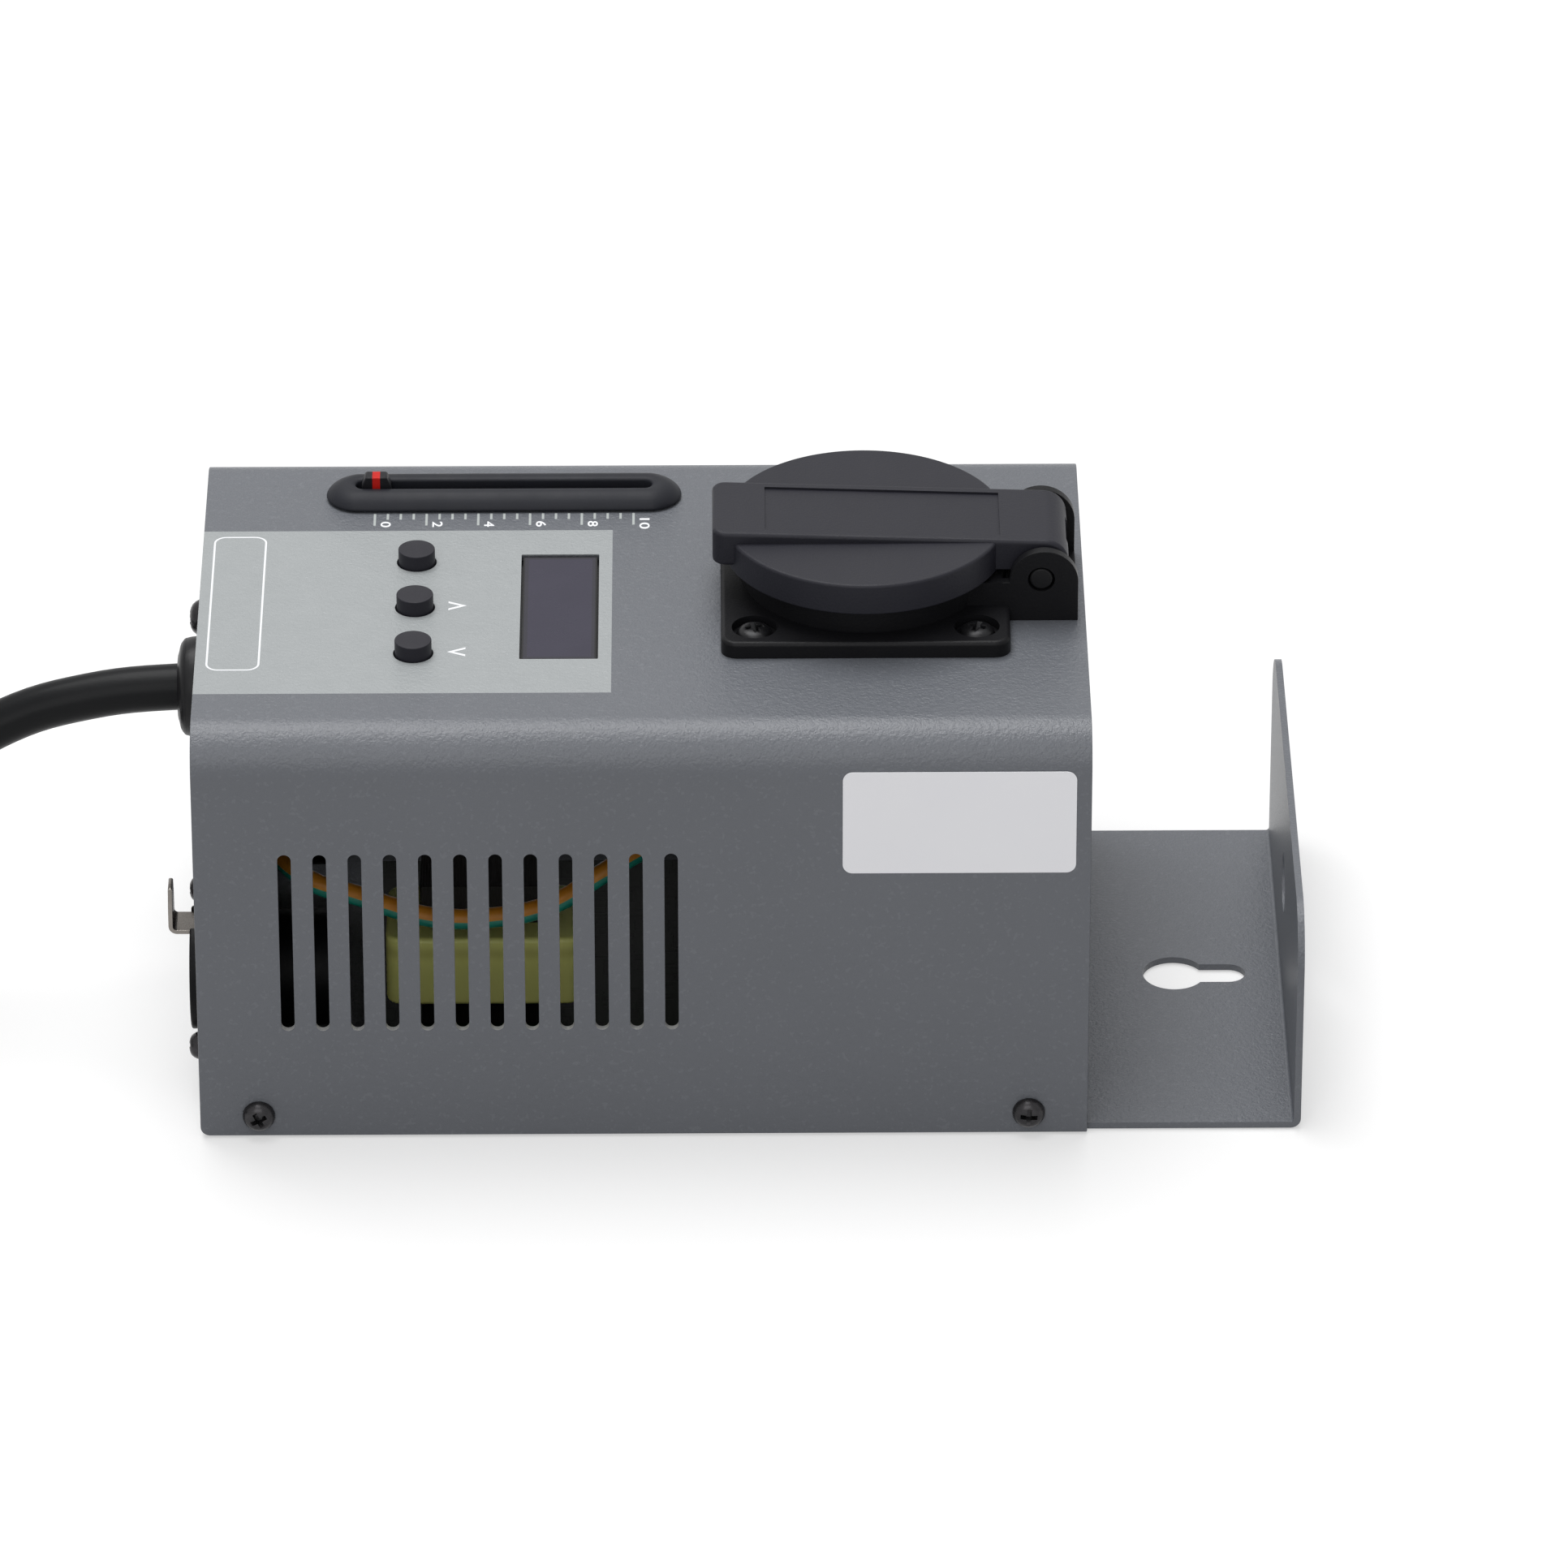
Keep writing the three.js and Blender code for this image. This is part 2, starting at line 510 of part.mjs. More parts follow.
function makeOutletHousing() {
  const half = outlet.flange / 2;
  const flange = rectangle(outletX - half, outletX + half, outletY - half, outletY + half, outlet.flangeCorner);
  const blockEnd = pinX - hinge.sweep;
  const block = rectangle(outletX, blockEnd, outletY - outlet.blockHalf, outletY + outlet.blockHalf);
  const earX = pinX + hinge.earShift;
  const earTop = pinZ - hinge.earDrop + hinge.ear;
  const earOutline = rounded([
    [blockEnd - hinge.sweep, top], [earX + hinge.ear, top], [earX + hinge.ear, earTop, hinge.ear],
    [earX - hinge.ear, earTop, hinge.ear], [earX - hinge.ear, top + outlet.blockRise],
    [blockEnd - hinge.sweep, top + outlet.blockRise],
  ], 2 * arcSteps);
  const ears = [-1, 1].map((side) => {
    const outer = outletY + side * outlet.blockHalf;
    const inner = outer - side * hinge.earThickness;
    return plate(earOutline, 'long', Math.min(outer, inner), Math.max(outer, inner));
  });
  const webHalf = outlet.blockHalf - hinge.earThickness / 2;
  const web = rectangle(blockEnd - overrun, earX + hinge.ear, outletY - webHalf, outletY + webHalf);
  const wellFloor = top + outlet.collarRise - outlet.wellDepth;
  const cupBottom = top - outlet.cupDepth;
  const body = joined(
    plate(flange, 'flat', top, top + outlet.flangeRise),
    plate(block, 'flat', top, top + outlet.blockRise),
    ...ears,
    plate(web, 'flat', top, top + hinge.web),
    plate(circle(outletX, outletY, outlet.collar, fineSides), 'flat', top, top + outlet.collarRise),
    plate(circle(outletX, outletY, outlet.cup, fineSides), 'flat', cupBottom, top + outlet.flangeRise),
  );
  const seat = top + outlet.flangeRise - outlet.counterboreDepth;
  return {
    wellFloor,
    cupBottom,
    seat,
    geometry: cut(
      body,
      plate(circle(outletX, outletY, outlet.well, fineSides), 'flat', cupBottom + outlet.cupFloor, top + outlet.collarRise + overrun),
      plate(circle(outletX, outletY, outlet.wireHole), 'flat', cupBottom - overrun, cupBottom + outlet.cupFloor + overrun),
      plate(
        circle(pinX, pinZ, hinge.pin + hinge.nest), 'long',
        outletY - outlet.blockHalf - overrun, outletY + outlet.blockHalf + overrun,
      ),
      ...outletScrewPlaces().flatMap(([x, y]) => [
        plate(circle(x, y, outlet.counterbore), 'flat', seat, top + outlet.flangeRise + overrun),
        plate(circle(x, y, outletScrew.shank + fit, smallSides), 'flat', top - overrun, seat + overrun),
      ]),
    ),
  };
}

function makeLid() {
  const level = (rise) => top + rise;
  const noseX = outletX - lid.barFrom;
  const underBar = level(lid.top - lid.sink);
  const heel = pinX + hinge.knuckle;
  const armX = outletX + lid.armFrom;
  const bar = rounded([
    [noseX, level(lid.noseBottom), lid.noseCorner], [noseX + lid.noseLength, level(lid.noseBottom)],
    [noseX + lid.noseLength, underBar], [armX, underBar], [armX, level(lid.armBottom)],
    [pinX - hinge.knuckle, level(lid.armBottom)], [pinX - hinge.knuckle, pinZ],
    [heel, pinZ], [heel, level(lid.barTopAtHinge), lid.heelCorner], [noseX, level(lid.barTop), lid.noseCorner],
  ]);
  const barBetween = (outline, half) => plate(outline, 'long', outletY - half, outletY + half);
  const slope = (lid.barTopAtHinge - lid.barTop) / (heel - noseX);
  const barTopAt = (x) => level(lid.barTop) + slope * (x - noseX);
  const trimStart = outletX - lid.trimFrom;
  const trimEnd = outletX - lid.trimTo;
  const trim = [
    [trimStart, barTopAt(trimStart) - lid.trimDepth], [trimEnd, barTopAt(trimEnd) - lid.trimDepth],
    [trimEnd, level(lid.barTop) + overrun], [trimStart, level(lid.barTop) + overrun],
  ];
  const pocket = rectangle(
    pinX - hinge.knuckle - overrun, heel + overrun, pinZ - hinge.sweep, pinZ + lid.pocketRise,
  );
  return cut(
    joined(
      plate(circle(outletX, outletY, lid.radius, fineSides), 'flat', level(lid.bottom), level(lid.top)),
      barBetween(bar, lid.barHalf),
      barBetween(circle(pinX, pinZ, hinge.knuckle), lid.barHalf),
    ),
    barBetween(rounded(trim), lid.trimHalf),
    barBetween(pocket, lid.pocketHalf),
    barBetween(circle(pinX, pinZ, hinge.pin + hinge.nest), lid.barHalf + overrun),
    plate(
      circle(outletX, outletY, gasket.outer + fit, fineSides), 'flat',
      level(lid.bottom) - overrun, level(lid.bottom) + gasket.thickness,
    ),
  );
}

function makeGasket() {
  const low = top + lid.bottom;
  const ring = plate(circle(outletX, outletY, gasket.outer, fineSides), 'flat', low, low + gasket.thickness);
  return cut(ring, plate(circle(outletX, outletY, gasket.inner, fineSides), 'flat', low - overrun, low + gasket.thickness + overrun));
}

// Wire coiled round the hinge pin, its ends running straight for one wire thickness.
function makeSpring() {
  const stepsPerCurl = 8;
  const count = spring.curls * stepsPerCurl;
  const width = spring.curls * spring.pitch;
  const curls = Array.from({ length: count + 1 }, (_, k) => {
    const angle = (2 * Math.PI * k) / stepsPerCurl;
    const y = width * (k / count - 1 / 2);
    return new THREE.Vector3(spring.radius * Math.cos(angle), y, spring.radius * Math.sin(angle));
  });
  const rings = curls.map((point, k) => {
    const angle = (2 * Math.PI * k) / stepsPerCurl;
    const outward = new THREE.Vector3(Math.cos(angle), 0, Math.sin(angle));
    return Array.from({ length: 5 }, (_, j) => {
      const turn = (2 * Math.PI * j) / 5;
      return point.clone().addScaledVector(outward, spring.wire * Math.cos(turn))
        .add(new THREE.Vector3(0, -spring.wire * Math.sin(turn), 0));
    });
  });
  const tail = (ring, side) => ring.map((p) => p.clone().add(new THREE.Vector3(0, 0, side * 2 * spring.wire)));
  return skin([tail(rings[0], -1), ...rings, tail(rings.at(-1), 1)], false);
}

function makeInsert(wellFloor, cupBottom) {
  const low = cupBottom + outlet.cupFloor;
  const body = plate(circle(outletX, outletY, outlet.well - fit, fineSides), 'flat', low, wellFloor);
  const holes = [-1, 1].flatMap((side) => {
    const y = outletY + (side * contact.spacing) / 2;
    return [
      plate(circle(outletX, y, contact.hole, smallSides), 'flat', low - overrun, wellFloor + overrun),
      plate(circle(outletX, y, contact.sleeve + fit, smallSides), 'flat', low - overrun, wellFloor - contact.face),
    ];
  });
  const notches = [-1, 1].map((side) => {
    const inner = outletX + side * (earthClip.radius - earthClip.foot - fit);
    const outer = outletX + side * (outlet.well + overrun);
    const half = earthClip.width / 2 + fit;
    const outline = rectangle(Math.min(inner, outer), Math.max(inner, outer), outletY - half, outletY + half);
    return plate(outline, 'flat', low - overrun, wellFloor + overrun);
  });
  return cut(body, ...holes, ...notches);
}

function makeSleeve(side, wellFloor) {
  const high = wellFloor - contact.face - fit;
  const low = high - contact.length;
  const y = outletY + (side * contact.spacing) / 2;
  const tubeBody = plate(circle(outletX, y, contact.sleeve, smallSides), 'flat', low, high);
  return cut(tubeBody, plate(circle(outletX, y, contact.sleeve - contact.wall, smallSides), 'flat', low + contact.wall, high + overrun));
}

// Spring strip that stands at the well's wall and leans in at its top.
function makeEarthClip(side, wellFloor, cupBottom) {
  const low = cupBottom + outlet.cupFloor;
  const outer = earthClip.radius + earthClip.thickness / 2;
  const inner = outer - earthClip.thickness;
  const high = wellFloor + earthClip.rise;
  const outline = rounded([
    [inner - earthClip.foot + earthClip.thickness, low], [outer, low], [outer, high - 2 * earthClip.nose],
    [outer - earthClip.nose, high - earthClip.nose], [outer, high],
    [inner, high], [inner - earthClip.nose, high - earthClip.nose], [inner, high - 2 * earthClip.nose],
    [inner, low + earthClip.thickness], [inner - earthClip.foot + earthClip.thickness, low + earthClip.thickness],
  ]).map((point) => new THREE.Vector2(outletX + side * point.x, point.y));
  return plate(outline, 'long', outletY - earthClip.width / 2, outletY + earthClip.width / 2);
}

const housing = makeOutletHousing();
add('outlet_housing', housing.geometry, 'black');
add('outlet_insert', makeInsert(housing.wellFloor, housing.cupBottom), 'black');
['left', 'right'].forEach((name, k) => {
  add(`earth_clip_${name}`, makeEarthClip(2 * k - 1, housing.wellFloor, housing.cupBottom), 'steel');
});
['front', 'back'].forEach((name, k) => {
  add(`contact_sleeve_${name}`, makeSleeve(2 * k - 1, housing.wellFloor), 'brass');
});
add('outlet_lid', makeLid(), 'black');
add('lid_gasket', makeGasket(), 'rubber');
const pinHalf = outlet.blockHalf - fit / 2;
add('hinge_pin', plate(circle(pinX, pinZ, hinge.pin), 'long', outletY - pinHalf, outletY + pinHalf), 'black');
add('lid_spring', makeSpring(), 'steel', [pinX, outletY, pinZ]);
outletScrewPlaces().forEach(([x, y], k) => {
  add(`outlet_screw_${k + 1}`, panScrew(outletScrew), 'blackSteel', [x, y, housing.seat], headTo.up);
});

// Fader

// Domed ring: each ring of points is a slot outline, from the slot's foot over the crest and down to the outer foot.
function makeBezel() {
  const { bezelHalf, bezelRadius, rise, slotHalf, slotRadius } = fader;
  const wallEnd = bezelHalf - slotHalf;
  const wallSide = bezelRadius - slotRadius;
  // Shares of the way from the outer foot to the slot, and of the rise
  const sectionShares = [[1, 0], [1, 0.88], [0.93, 1], [0.74, 0.98], [0.46, 0.86], [0.16, 0.6], [0, 0.22], [0, 0]];
  const loops = sectionShares.map(([inShare, riseShare]) => {
    const outline = slot(0, 0, bezelHalf - wallEnd * inShare, bezelRadius - wallSide * inShare, false, 2 * arcSteps);
    return outline.map((point) => new THREE.Vector3(faderX + point.x, faderY + point.y, top + rise * riseShare));
  });
  return skin(loops, true);
}

function makeFaderBody() {
  const { bodyHalf, bodyWidthHalf, bodyDepth, travel, stemHalf, bodySlotHalf, stemReach, stemWidthHalf } = fader;
  const low = underTop - bodyDepth;
  const box = rectangle(faderX - bodyHalf, faderX + bodyHalf, faderY - bodyWidthHalf, faderY + bodyWidthHalf);
  const run = travel / 2 + stemHalf + 2 * fit;
  const half = stemWidthHalf + fit;
  const way = rectangle(faderX - run, faderX + run, faderY - half, faderY + half);
  return cut(
    plate(box, 'flat', low, underTop),
    plate(way, 'flat', underTop - stemReach - bodySlotHalf, underTop + overrun),
  );
}

function makeKnob() {
  const { travel, knobHalf, knobTopHalf, knobDepthHalf, knobRise, knobCap, stemHalf, stemReach, stemWidthHalf } = fader;
  const x = faderX - travel / 2;
  const high = top + knobRise;
  const capLow = high - knobCap;
  const cap = rounded([
    [x - knobHalf, capLow], [x + knobHalf, capLow], [x + knobHalf, high - knobCap / 2], [x + knobTopHalf, high],
    [x - knobTopHalf, high], [x - knobHalf, high - knobCap / 2],
  ]);
  return joined(
    plate(cap, 'long', faderY - knobDepthHalf, faderY + knobDepthHalf),
    plate(
      rectangle(x - stemHalf, x + stemHalf, underTop - stemReach, capLow + knobCap / 2), 'long',
      faderY - stemWidthHalf, faderY + stemWidthHalf,
    ),
  );
}

add('fader_bezel', makeBezel(), 'rubber');
add('fader_body', makeFaderBody(), 'steel');
add('fader_knob', makeKnob(), 'black');

// Controls

// Rectangle centred on the display.
function displayOutline(length, width) {
  return rectangle(displayX - length / 2, displayX + length / 2, displayY - width / 2, displayY + width / 2);
}

function makeWindow() {
  const lens = displayOutline(display.length - 2 * fit, display.width - 2 * fit);
  const rim = displayOutline(display.length + 2 * display.border, display.width + 2 * display.border);
  return joined(
    plate(lens, 'flat', underTop - display.borderThickness, top - display.sink),
    plate(rim, 'flat', underTop - display.borderThickness, underTop),
  );
}

function makeDisplayModule() {
  const outline = displayOutline(display.moduleLength, display.moduleWidth);
  return plate(outline, 'flat', controlTop, underTop - display.borderThickness - fit);
}

function makeControlBoard() {
  return plate(rectangle(...boardEdges.control), 'flat', controlTop - controlBoard.thickness, controlTop);
}

function makeButton(y) {
  const x = buttonX;
  const rimTop = underTop - fit;
  const rimBottom = rimTop - button.rimThickness;
  return joined(
    plate(circle(x, y, button.radius), 'flat', rimBottom, top + button.rise),
    plate(circle(x, y, button.rim), 'flat', rimBottom, rimTop),
    plate(circle(x, y, button.stem, smallSides), 'flat', controlTop + keySwitch.height - button.stemDepth, rimTop),
  );
}

function makeKeySwitch(y) {
  const x = buttonX;
  const high = controlTop + keySwitch.height;
  const body = rectangle(x - keySwitch.half, x + keySwitch.half, y - keySwitch.half, y + keySwitch.half);
  const wellBottom = high - button.stemDepth - button.travel - fit;
  return cut(
    plate(body, 'flat', controlTop, high),
    plate(circle(x, y, keySwitch.wellRadius, smallSides), 'flat', wellBottom, high + overrun),
  );
}

add('display_window', makeWindow(), 'window');
add('display_module', makeDisplayModule(), 'black');
add('control_board', makeControlBoard(), 'board');
buttonPlaces().forEach((y, k) => {
  const name = ['front', 'middle', 'back'][k];
  add(`button_${name}`, makeButton(y), 'black');
  add(`key_switch_${name}`, makeKeySwitch(y), 'black');
});

// Power side

// Box capacitor standing in the free run between the choke's winding and the terminals.
function makeCapacitor() {
  const runStart = chokeX + choke.windingLength / 2;
  const x = runStart + capacitor.alongShare * (terminalsX - runStart - capacitor.length);
  const y = -capacitor.beforeMiddle;
  const outline = rectangle(x, x + capacitor.length, y, y + capacitor.width);
  return plate(outline, 'flat', powerTop, powerTop + capacitor.height);
}

// Laminated core standing as a frame across the case; its front limb runs up through the winding.
function makeChokeCore() {
  const y = -choke.beforeMiddle;
  const depth = 2 * choke.limb + choke.window;
  const windowLow = powerTop + choke.yoke;
  const windowHigh = windowLow + choke.windingHeight + 2 * fit;
  const x = chokeX;
  const half = choke.stack / 2;
  return cut(
    plate(rectangle(y, y + depth, powerTop, windowHigh + choke.yoke), 'cross', x - half, x + half),
    plate(
      rectangle(y + choke.limb, y + choke.limb + choke.window, windowLow, windowHigh), 'cross',
      x - half - overrun, x + half + overrun,
    ),
  );
}

function makeChokeWinding() {
  const x = chokeX;
  const y = -choke.beforeMiddle;
  const half = choke.windingLength / 2;
  const low = powerTop + choke.yoke + fit;
  const high = low + choke.windingHeight;
  const outline = rectangle(
    x - half, x + half, y - choke.windingWall, y + choke.limb + choke.windingWall, choke.windingCorner,
  );
  const limbHalf = choke.stack / 2 + fit;
  const limb = rectangle(x - limbHalf, x + limbHalf, y - fit, y + choke.limb + fit);
  return cut(plate(outline, 'flat', low, high), plate(limb, 'flat', low - overrun, high + overrun));
}

function makeHeatSink() {
  const x = heatSinkX;
  const y = heatSink.behindMiddle;
  const base = rectangle(x, x + heatSink.length, y, y + heatSink.base);
  const step = (heatSink.length - heatSink.fin) / (heatSink.fins - 1);
  const fins = Array.from({ length: heatSink.fins }, (_, k) => {
    const start = x + k * step;
    return rectangle(start, start + heatSink.fin, y + heatSink.base / 2, y + heatSink.base + heatSink.finDepth);
  });
  return joined(...[base, ...fins].map((outline) => plate(outline, 'flat', powerTop, powerTop + heatSink.height)));
}

function makeTriac() {
  const x = heatSinkX + heatSink.length / 2;
  const y = heatSink.behindMiddle;
  const outline = rectangle(x - triac.width / 2, x + triac.width / 2, y - triac.thickness, y);
  return plate(outline, 'flat', powerTop + triac.bottom, powerTop + triac.bottom + triac.height);
}

function makeTerminalBlock() {
  const x = terminalsX;
  const y = -terminals.beforeMiddle;
  const outline = rounded([
    [x, powerTop], [x + terminals.length, powerTop], [x + terminals.length, powerTop + terminals.height],
    [x + terminals.step, powerTop + terminals.height], [x, powerTop + terminals.height - terminals.step],
  ]);
  return plate(outline, 'long', y, y + terminals.width);
}

add('power_board', plate(rectangle(...boardEdges.power), 'flat', powerBoard.bottom, powerTop), 'board');
add('choke_core', makeChokeCore(), 'iron');
add('choke_winding', makeChokeWinding(), 'tape');
add('heat_sink', makeHeatSink(), 'aluminium');
add('triac', makeTriac(), 'black');
add('terminal_block', makeTerminalBlock(), 'board');
add('suppression_capacitor', makeCapacitor(), 'film');

// Connector panel

// Moulded bush: round head outside the panel, shank through it, bored for the lead.
function makeStrainRelief() {
  const bore = cordRadius + fit;
  return turnedSolid([
    [bore, -gland.shankReach], [gland.shank, -gland.shankReach], [gland.shank, 0], [gland.head, 0],
    [gland.head, gland.headRise - gland.round], [gland.head - gland.round, gland.headRise],
    [bore, gland.headRise], [bore, -gland.shankReach],
  ], 24);
}

function makeFuseHolder() {
  const body = turnedSolid([
    [0, -fuse.barrelLength], [fuse.barrel, -fuse.barrelLength], [fuse.barrel, 0], [fuse.ring, 0],
    [fuse.ring, fuse.ringRise], [0, fuse.ringRise],
  ]);
  const bore = plate(circle(0, 0, fuse.bore), 'flat', fuse.floor - fuse.barrelLength, fuse.ringRise + overrun);
  return cut(body, bore);
}

function makeFuseCap() {
  const body = turnedSolid([
    [0, -fuse.plugLength], [fuse.plug, -fuse.plugLength], [fuse.plug, fuse.ringRise], [fuse.cap, fuse.ringRise],
    [fuse.cap, fuse.ringRise + fuse.capRise], [0, fuse.ringRise + fuse.capRise],
  ]);
  const high = fuse.ringRise + fuse.capRise;
  const driverSlot = rectangle(-fuse.cap - overrun, fuse.cap + overrun, -fuse.slotHalf, fuse.slotHalf);
  return cut(body, plate(driverSlot, 'flat', high - fuse.slotDepth, high + overrun));
}

// Round connector seated behind the panel with its nose through it, drawn with the panel's face at zero height.
function makeDataConnector(isSocket) {
  const low = -sheet - data.flangeThickness;
  const flange = rectangle(
    -data.flangeHeight / 2, data.flangeHeight / 2, -data.flangeWidth / 2, data.flangeWidth / 2, data.flangeCorner,
  );
  const body = joined(
    plate(flange, 'flat', low, -sheet),
    plate(circle(0, 0, data.nose, fineSides), 'flat', low, data.noseRise),
    plate(circle(0, 0, data.body), 'flat', low - data.bodyLength, low + data.flangeThickness / 2),
  );
  const mouth = data.noseRise + overrun;
  const cavity = plate(circle(0, 0, data.groove, 24), 'flat', data.noseRise - data.grooveDepth, mouth);
  const screwHoles = [1, -1].map((side) => {
    return plate(
      circle(side * data.screwUp, side * data.screwAcross, dataScrew.shank + fit, smallSides), 'flat',
      low - overrun, mouth,
    );
  });
  const around = [0, 1, 2].map((k) => onCircle(new THREE.Vector2(0, 0), data.pinCircle, (Math.PI * (2 * k)) / 3));
  const cavityFloor = data.noseRise - data.grooveDepth;
  if (isSocket) {
    const core = plate(circle(0, 0, data.core), 'flat', cavityFloor - overrun, data.noseRise);
    const holes = around.map((point) => {
      return plate(circle(point.x, point.y, data.pin, 8), 'flat', data.noseRise - data.holeDepth, mouth);
    });
    const latchWay = rectangle(latch.slotFrom, data.nose + overrun, -latch.slotHalf, latch.slotHalf);
    return cut(
      joined(cut(body, cavity), core),
      ...screwHoles,
      ...holes,
      plate(latchWay, 'flat', data.noseRise - latch.slotDepth, mouth),
    );
  }
  const pins = around.map((point) => {
    return plate(circle(point.x, point.y, data.pin, 8), 'flat', cavityFloor - overrun, cavityFloor + data.pinLength);
  });
  return cut(joined(cut(body, cavity), ...pins), ...screwHoles);
}

// Lever strip: an arm out of the connector's top and a thumb tab turned up in front of it.
function makeLatch() {
  const z = data.height + latch.above;
  const tip = left - latch.reach;
  const outline = rounded([
    [left + latch.inside, z], [tip, z, latch.thickness], [tip, z + latch.tab], [tip + latch.thickness, z + latch.tab],
    [tip + latch.thickness, z + latch.thickness], [left + latch.inside, z + latch.thickness],
  ], 2);
  return plate(outline, 'long', dataY[0] - latch.half, dataY[0] + latch.half);
}

add('strain_relief', makeStrainRelief(), 'black', [left, 0, glandHeight], headTo.left);
add('earth_stud', panScrew(groundScrew), 'blackSteel', [left, groundY, glandHeight], headTo.left);
const nutX = left + sheet;
add('earth_nut', cut(
  plate(circle(groundY, glandHeight, groundNut.radius, 6), 'cross', nutX, nutX + groundNut.height),
  plate(
    circle(groundY, glandHeight, groundScrew.shank + fit, smallSides), 'cross',
    nutX - overrun, nutX + groundNut.height + overrun,
  ),
), 'steel');
add('fuse_holder', makeFuseHolder(), 'black', [left, fuseY, fuseHeight], headTo.left);
add('fuse_cap', makeFuseCap(), 'black', [left, fuseY, fuseHeight], headTo.left);
add('data_out_socket', makeDataConnector(true), 'black', [left, dataY[0], data.height], headTo.left);
add('data_out_latch', makeLatch(), 'steel');
add('data_in_plug', makeDataConnector(false), 'black', [left, dataY[1], data.height], headTo.left);
dataScrewPlaces().forEach(([y, z], k) => {
  add(`data_screw_${k + 1}`, panScrew(dataScrew), 'blackSteel', [left, y, z], headTo.left);
});

// Inside wires. The earth wire drops under the gland and runs behind the front vents, there with its points given as
// shares of the case's length, width and height

const cupHoleTop = housing.cupBottom + outlet.cupFloor - wire.gap;
const earthEndX = outletX - wire.earthSpread;
const nutEnd = nutX + groundNut.height + wire.gap + wire.earth;
const earthRunShares = [
  [-0.4058, -0.3107, 0.5635], [-0.3636, -0.3738, 0.5434], [-0.3247, -0.3767, 0.5208],
  [-0.2857, -0.3767, 0.4906], [-0.2468, -0.3767, 0.4654], [-0.2078, -0.3767, 0.4566],
  [-0.1688, -0.3767, 0.4604], [-0.1279, -0.3767, 0.4742], [-0.0877, -0.3748, 0.5069],
  [-0.0481, -0.367, 0.5585], [0.026, -0.3107, 0.6113], [0.1169, -0.1942, 0.6088],
  [0.1948, -0.0728, 0.5862],
];
add('earth_wire', tube([
  [nutEnd, groundY - groundNut.radius, glandHeight],
  ...underGland.map(({ fromPanel, y, below }) => [left + fromPanel, y, glandHeight - below]),
  ...earthRunShares.map(([x, y, z]) => [x * caseLength, y * caseWidth, z * caseHeight]),
  [earthEndX - wire.bow, outletY - wire.bow, cupHoleTop - wire.rise],
  [earthEndX, outletY, cupHoleTop],
], wire.earth, 40, 8), 'earth');
const terminalTop = powerTop + terminals.height;
const terminalX = terminalsX + terminals.length / 2 + terminals.step / 2;
[['live_wire', 'live', -1], ['neutral_wire', 'neutral', 1]].forEach(([name, look, side]) => {
  const y = terminals.width / 2 - terminals.beforeMiddle + side * terminals.pitch / 2;
  const endX = outletX + wire.spread;
  const endY = outletY + side * wire.spread;
  const low = terminalTop + wire.rise;
  const high = cupHoleTop - wire.rise;
  add(name, tube([
    [terminalX, y, terminalTop + wire.gap],
    [terminalX, y, low],
    [
      (terminalX + endX) / 2 + side * wire.sway, y + wire.midAlongShare * (endY - y),
      low + wire.midUpShare * (high - low),
    ],
    [endX, endY, high],
    [endX, endY, cupHoleTop],
  ], wire.power, 12, 8), look);
});

// Mains lead

const leadStart = left + gland.shankReach;
const leadJoin = new THREE.Vector3(coil.x, coil.y - coil.outer, cordRadius + coil.pitch);
const coilStraight = 2 * cordRadius;
add('cord_lead', tube([
  [leadStart, 0, glandHeight],
  [left - gland.headRise, 0, glandHeight],
  [-97, 0, 58.8],
  [-111.5, -0.5, 54.2],
  [-123, -2.6, 47.2],
  [-137, -8.4, 34.8],
  [-151, -16.2, 22.2],
  [-160, -20.8, 16.4],
  [-168, -23.8, 13.6],
  [-174, leadJoin.y, leadJoin.z],
  [leadJoin.x + coilStraight + fit, leadJoin.y, leadJoin.z],
], cordRadius, 14, 10), 'rubber');

// Loops spiral in on the upper layer and out again on the lower one; the half turn between them steps down.
function coilPath() {
  const turn = coil.loops * 2 * Math.PI;
  const count = Math.round(coil.loops * coil.stepsPerLoop);
  const inner = coil.outer - (coil.loops / 2) * coil.pitch;
  const points = Array.from({ length: count + 1 }, (_, k) => {
    const angle = (turn * k) / count;
    const fromMiddle = Math.abs(angle - turn / 2) / (2 * Math.PI);
    const radius = inner + fromMiddle * coil.pitch;
    const climb = THREE.MathUtils.clamp((angle - turn / 2) / Math.PI + 1 / 2, 0, 1);
    const height = cordRadius + coil.pitch * (1 - climb);
    const azimuth = -Math.PI / 2 - angle;
    return new THREE.Vector3(coil.x + radius * Math.cos(azimuth), coil.y + radius * Math.sin(azimuth), height);
  });
  const lastAzimuth = -Math.PI / 2 - turn;
  const leaving = new THREE.Vector3(Math.sin(lastAzimuth), -Math.cos(lastAzimuth), 0);
  const entry = points[0].clone().add(new THREE.Vector3(coilStraight, 0, 0));
  const exit = points.at(-1).clone().addScaledVector(leaving, coilStraight);
  return [entry, ...points, exit];
}

function leastSelfGap(path) {
  const away = Math.round(coil.stepsPerLoop / 3);
  let least = Infinity;
  path.forEach((point, i) => {
    for (let j = i + away; j < path.length; j += 1) least = Math.min(least, point.distanceTo(path[j]));
  });
  return least - 2 * cordRadius;
}

const loops = coilPath();
console.log(`cord_coil: least gap to itself ${leastSelfGap(loops).toFixed(2)} mm`);
add('cord_coil', skin(ringsAlong(loops, cordRadius, coil.sides), false), 'rubber');

